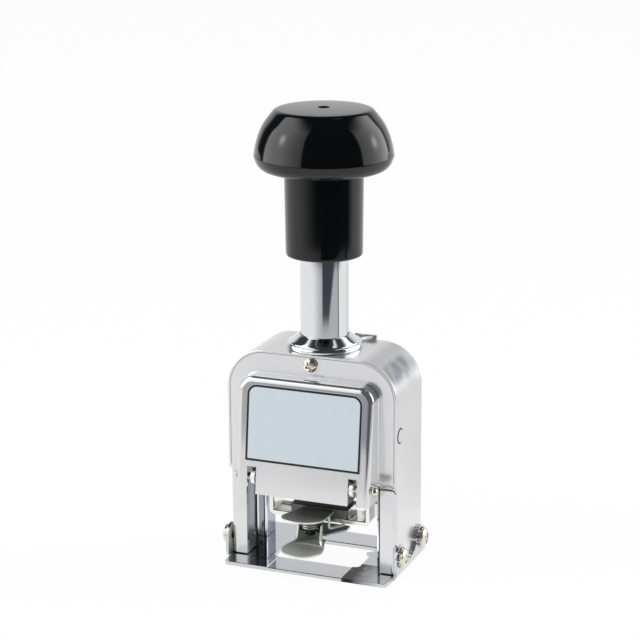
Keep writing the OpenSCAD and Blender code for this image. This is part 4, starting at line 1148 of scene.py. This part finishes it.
def table_glow(azimuth, distance):
    """Light of a white table, greyer to the front right, that ends in a dark floor."""
    grey = smooth(azimuth, -40, 12) * (1 - smooth(azimuth, 87, 91))
    level = 0.92 - 0.42 * grey * smooth(distance, 0.26, 0.31)
    level = level - 0.14 * between(azimuth, 145, 172, 6)
    edge = 46 + 247 * (distance - 0.355)
    dark = smooth(azimuth, 9, 14) * (1 - smooth(azimuth, edge - 4, edge + 4))
    dark = dark * smooth(distance, 0.322, 0.345)
    line = between(azimuth, 86.5, 92, 1.2) * smooth(distance, 0.26, 0.31)
    level = level + (0.06 - level) * dark
    level = level + (0.13 - level) * line
    far = smooth(distance, 0.446, 0.468)
    front = 0.95 - 0.9 * smooth(azimuth, -62, 6) + 0.95 * smooth(azimuth, 92, 116)
    return level + (np.maximum(front, 0.04) - level) * far


def build_reflections():
    """A dome and a table top that only mirrors see, with their light as a point attribute."""
    material, tree, shader = new_material("mirror_light")
    tree.nodes.remove(shader)
    light = add(tree, "Attribute", attribute_name="glow").outputs["Color"]
    glow = add(tree, "Emission", {"Color": light})
    tree.links.new(glow.outputs[0], tree.nodes["Material Output"].inputs["Surface"])
    material.cycles.emission_sampling = "NONE"
    azimuth = np.arange(-110, 250, 1.5)[None]
    turn = np.radians(azimuth)
    around = np.stack([np.sin(turn), -np.cos(turn), 0 * turn], -1)
    up = np.array([0, 0, 1.0])
    elevation = np.arange(-0.5, 90.1, 2.0)[:, None]
    rise = np.radians(elevation)[..., None]
    reach = np.geomspace(0.075, 3.05, 120)[:, None]
    dome = 3 * (np.cos(rise) * around + np.sin(rise) * up)
    table = reach[..., None] * around + 0.0006 * up
    for name, points, level in [
        ("mirror_dome", dome, room_glow(azimuth, elevation)),
        ("mirror_table", table, table_glow(azimuth, reach)),
    ]:
        rows, columns = points.shape[:2]
        faces = grid_faces(rows, columns, False, True)
        card = stage_sheet(name, points.reshape(-1, 3), faces, material)
        level = np.broadcast_to(level, (rows, columns)).ravel()
        blue = 1 - smooth(level, 0.05, 0.5)
        tint = np.column_stack([1 - 0.12 * blue, np.ones(level.size), 1 + 0.2 * blue])
        values = np.column_stack([tint * level[:, None], np.ones(level.size)])
        attribute = card.data.attributes.new("glow", "FLOAT_COLOR", "POINT")
        attribute.data.foreach_set("color", values.ravel())
        for rays in ("camera", "diffuse", "transmission", "shadow"):
            setattr(card, "visible_" + rays, False)


def build_lamps():
    """Two tall soft boxes beside the object and a broad one overhead."""
    aim = Vector((0, 0, 0.10))
    for name, azimuth, height, distance, size, power in [
        ("left_box", -58, 0.62, 1.15, (0.45, 0.75), 5.5),
        ("right_box", 122, 0.62, 1.15, (0.40, 0.75), 4.7),
        ("top_box", 10, 1.5, 0.35, (1.0, 1.0), 6.2),
    ]:
        lamp = bpy.data.lights.new(name, "AREA")
        lamp.shape = "RECTANGLE"
        lamp.size, lamp.size_y = size
        lamp.energy = power
        thing = bpy.data.objects.new(name, lamp)
        a = math.radians(azimuth)
        spot = Vector((math.sin(a) * distance, -math.cos(a) * distance, height))
        facing = (aim - spot).to_track_quat("-Z", "Y").to_matrix().to_4x4()
        thing.matrix_world = Matrix.Translation(spot) @ facing
        thing.visible_glossy = False
        bpy.context.scene.collection.objects.link(thing)


def build_camera(scene):
    """A long lens a little to the right of the front and above the object."""
    spot = Vector((0.277343, -0.696349, 0.303013))
    azimuth, elevation, roll = 21.7086, 16.1902, -0.2647
    matrix = Matrix.Translation(spot)
    for turn, axis in ((azimuth, "Z"), (90 - elevation, "X"), (roll, "Z")):
        matrix = matrix @ Matrix.Rotation(math.radians(turn), 4, axis)
    data = bpy.data.cameras.new("camera")
    data.sensor_width = 36.0
    picture = 640
    data.lens = 2142.8 / picture * data.sensor_width
    data.shift_x, data.shift_y = -5.03 / picture, 16.54 / picture
    data.clip_start, data.clip_end = 0.05, 20
    scene.camera = bpy.data.objects.new("camera", data)
    scene.camera.matrix_world = matrix
    scene.collection.objects.link(scene.camera)


class MACHINE_OT_stage(bpy.types.Operator):
    """Sets the floor, the background, the lamps, the mirrored room and the camera."""

    bl_idname = "machine.stage"
    bl_label = "Stage"

    def execute(self, context):
        context.scene.view_settings.view_transform = "Standard"
        build_world(context.scene)
        build_floor()
        build_reflections()
        build_lamps()
        build_camera(context.scene)
        return {"FINISHED"}


class MACHINE_PT_panel(bpy.types.Panel):
    """Lists the settings and the operators in the order in which they run."""

    bl_label = "Numbering machine"
    bl_idname = "MACHINE_PT_panel"
    bl_space_type = "VIEW_3D"
    bl_region_type = "UI"
    bl_category = "Machine"

    def draw(self, context):
        for group in (context.scene.machine_sizes, context.scene.machine_colours):
            for name in group.bl_rna.properties.keys():
                if name not in ("rna_type", "name"):
                    self.layout.prop(group, name)
        for operator in OPERATORS:
            self.layout.operator(operator.bl_idname)


OPERATORS = [
    MACHINE_OT_finishes, MACHINE_OT_knob, MACHINE_OT_stem, MACHINE_OT_case, MACHINE_OT_covers,
    MACHINE_OT_base, MACHINE_OT_screws, MACHINE_OT_pad, MACHINE_OT_lever, MACHINE_OT_springs,
    MACHINE_OT_inner, MACHINE_OT_stage,
]
CLASSES = [MachineSizes, MachineColours, *OPERATORS, MACHINE_PT_panel]


def register():
    """Adds the classes and the scene's settings."""
    for cls in CLASSES:
        bpy.utils.register_class(cls)
    bpy.types.Scene.machine_sizes = PointerProperty(type=MachineSizes)
    bpy.types.Scene.machine_colours = PointerProperty(type=MachineColours)


def unregister():
    """Removes what register added."""
    del bpy.types.Scene.machine_colours
    del bpy.types.Scene.machine_sizes
    for cls in reversed(CLASSES):
        bpy.utils.unregister_class(cls)


def main():
    """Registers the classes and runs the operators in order."""
    register()
    for operator in OPERATORS:
        group, name = operator.bl_idname.split(".")
        getattr(getattr(bpy.ops, group), name)()


if __name__ == "__main__":
    main()
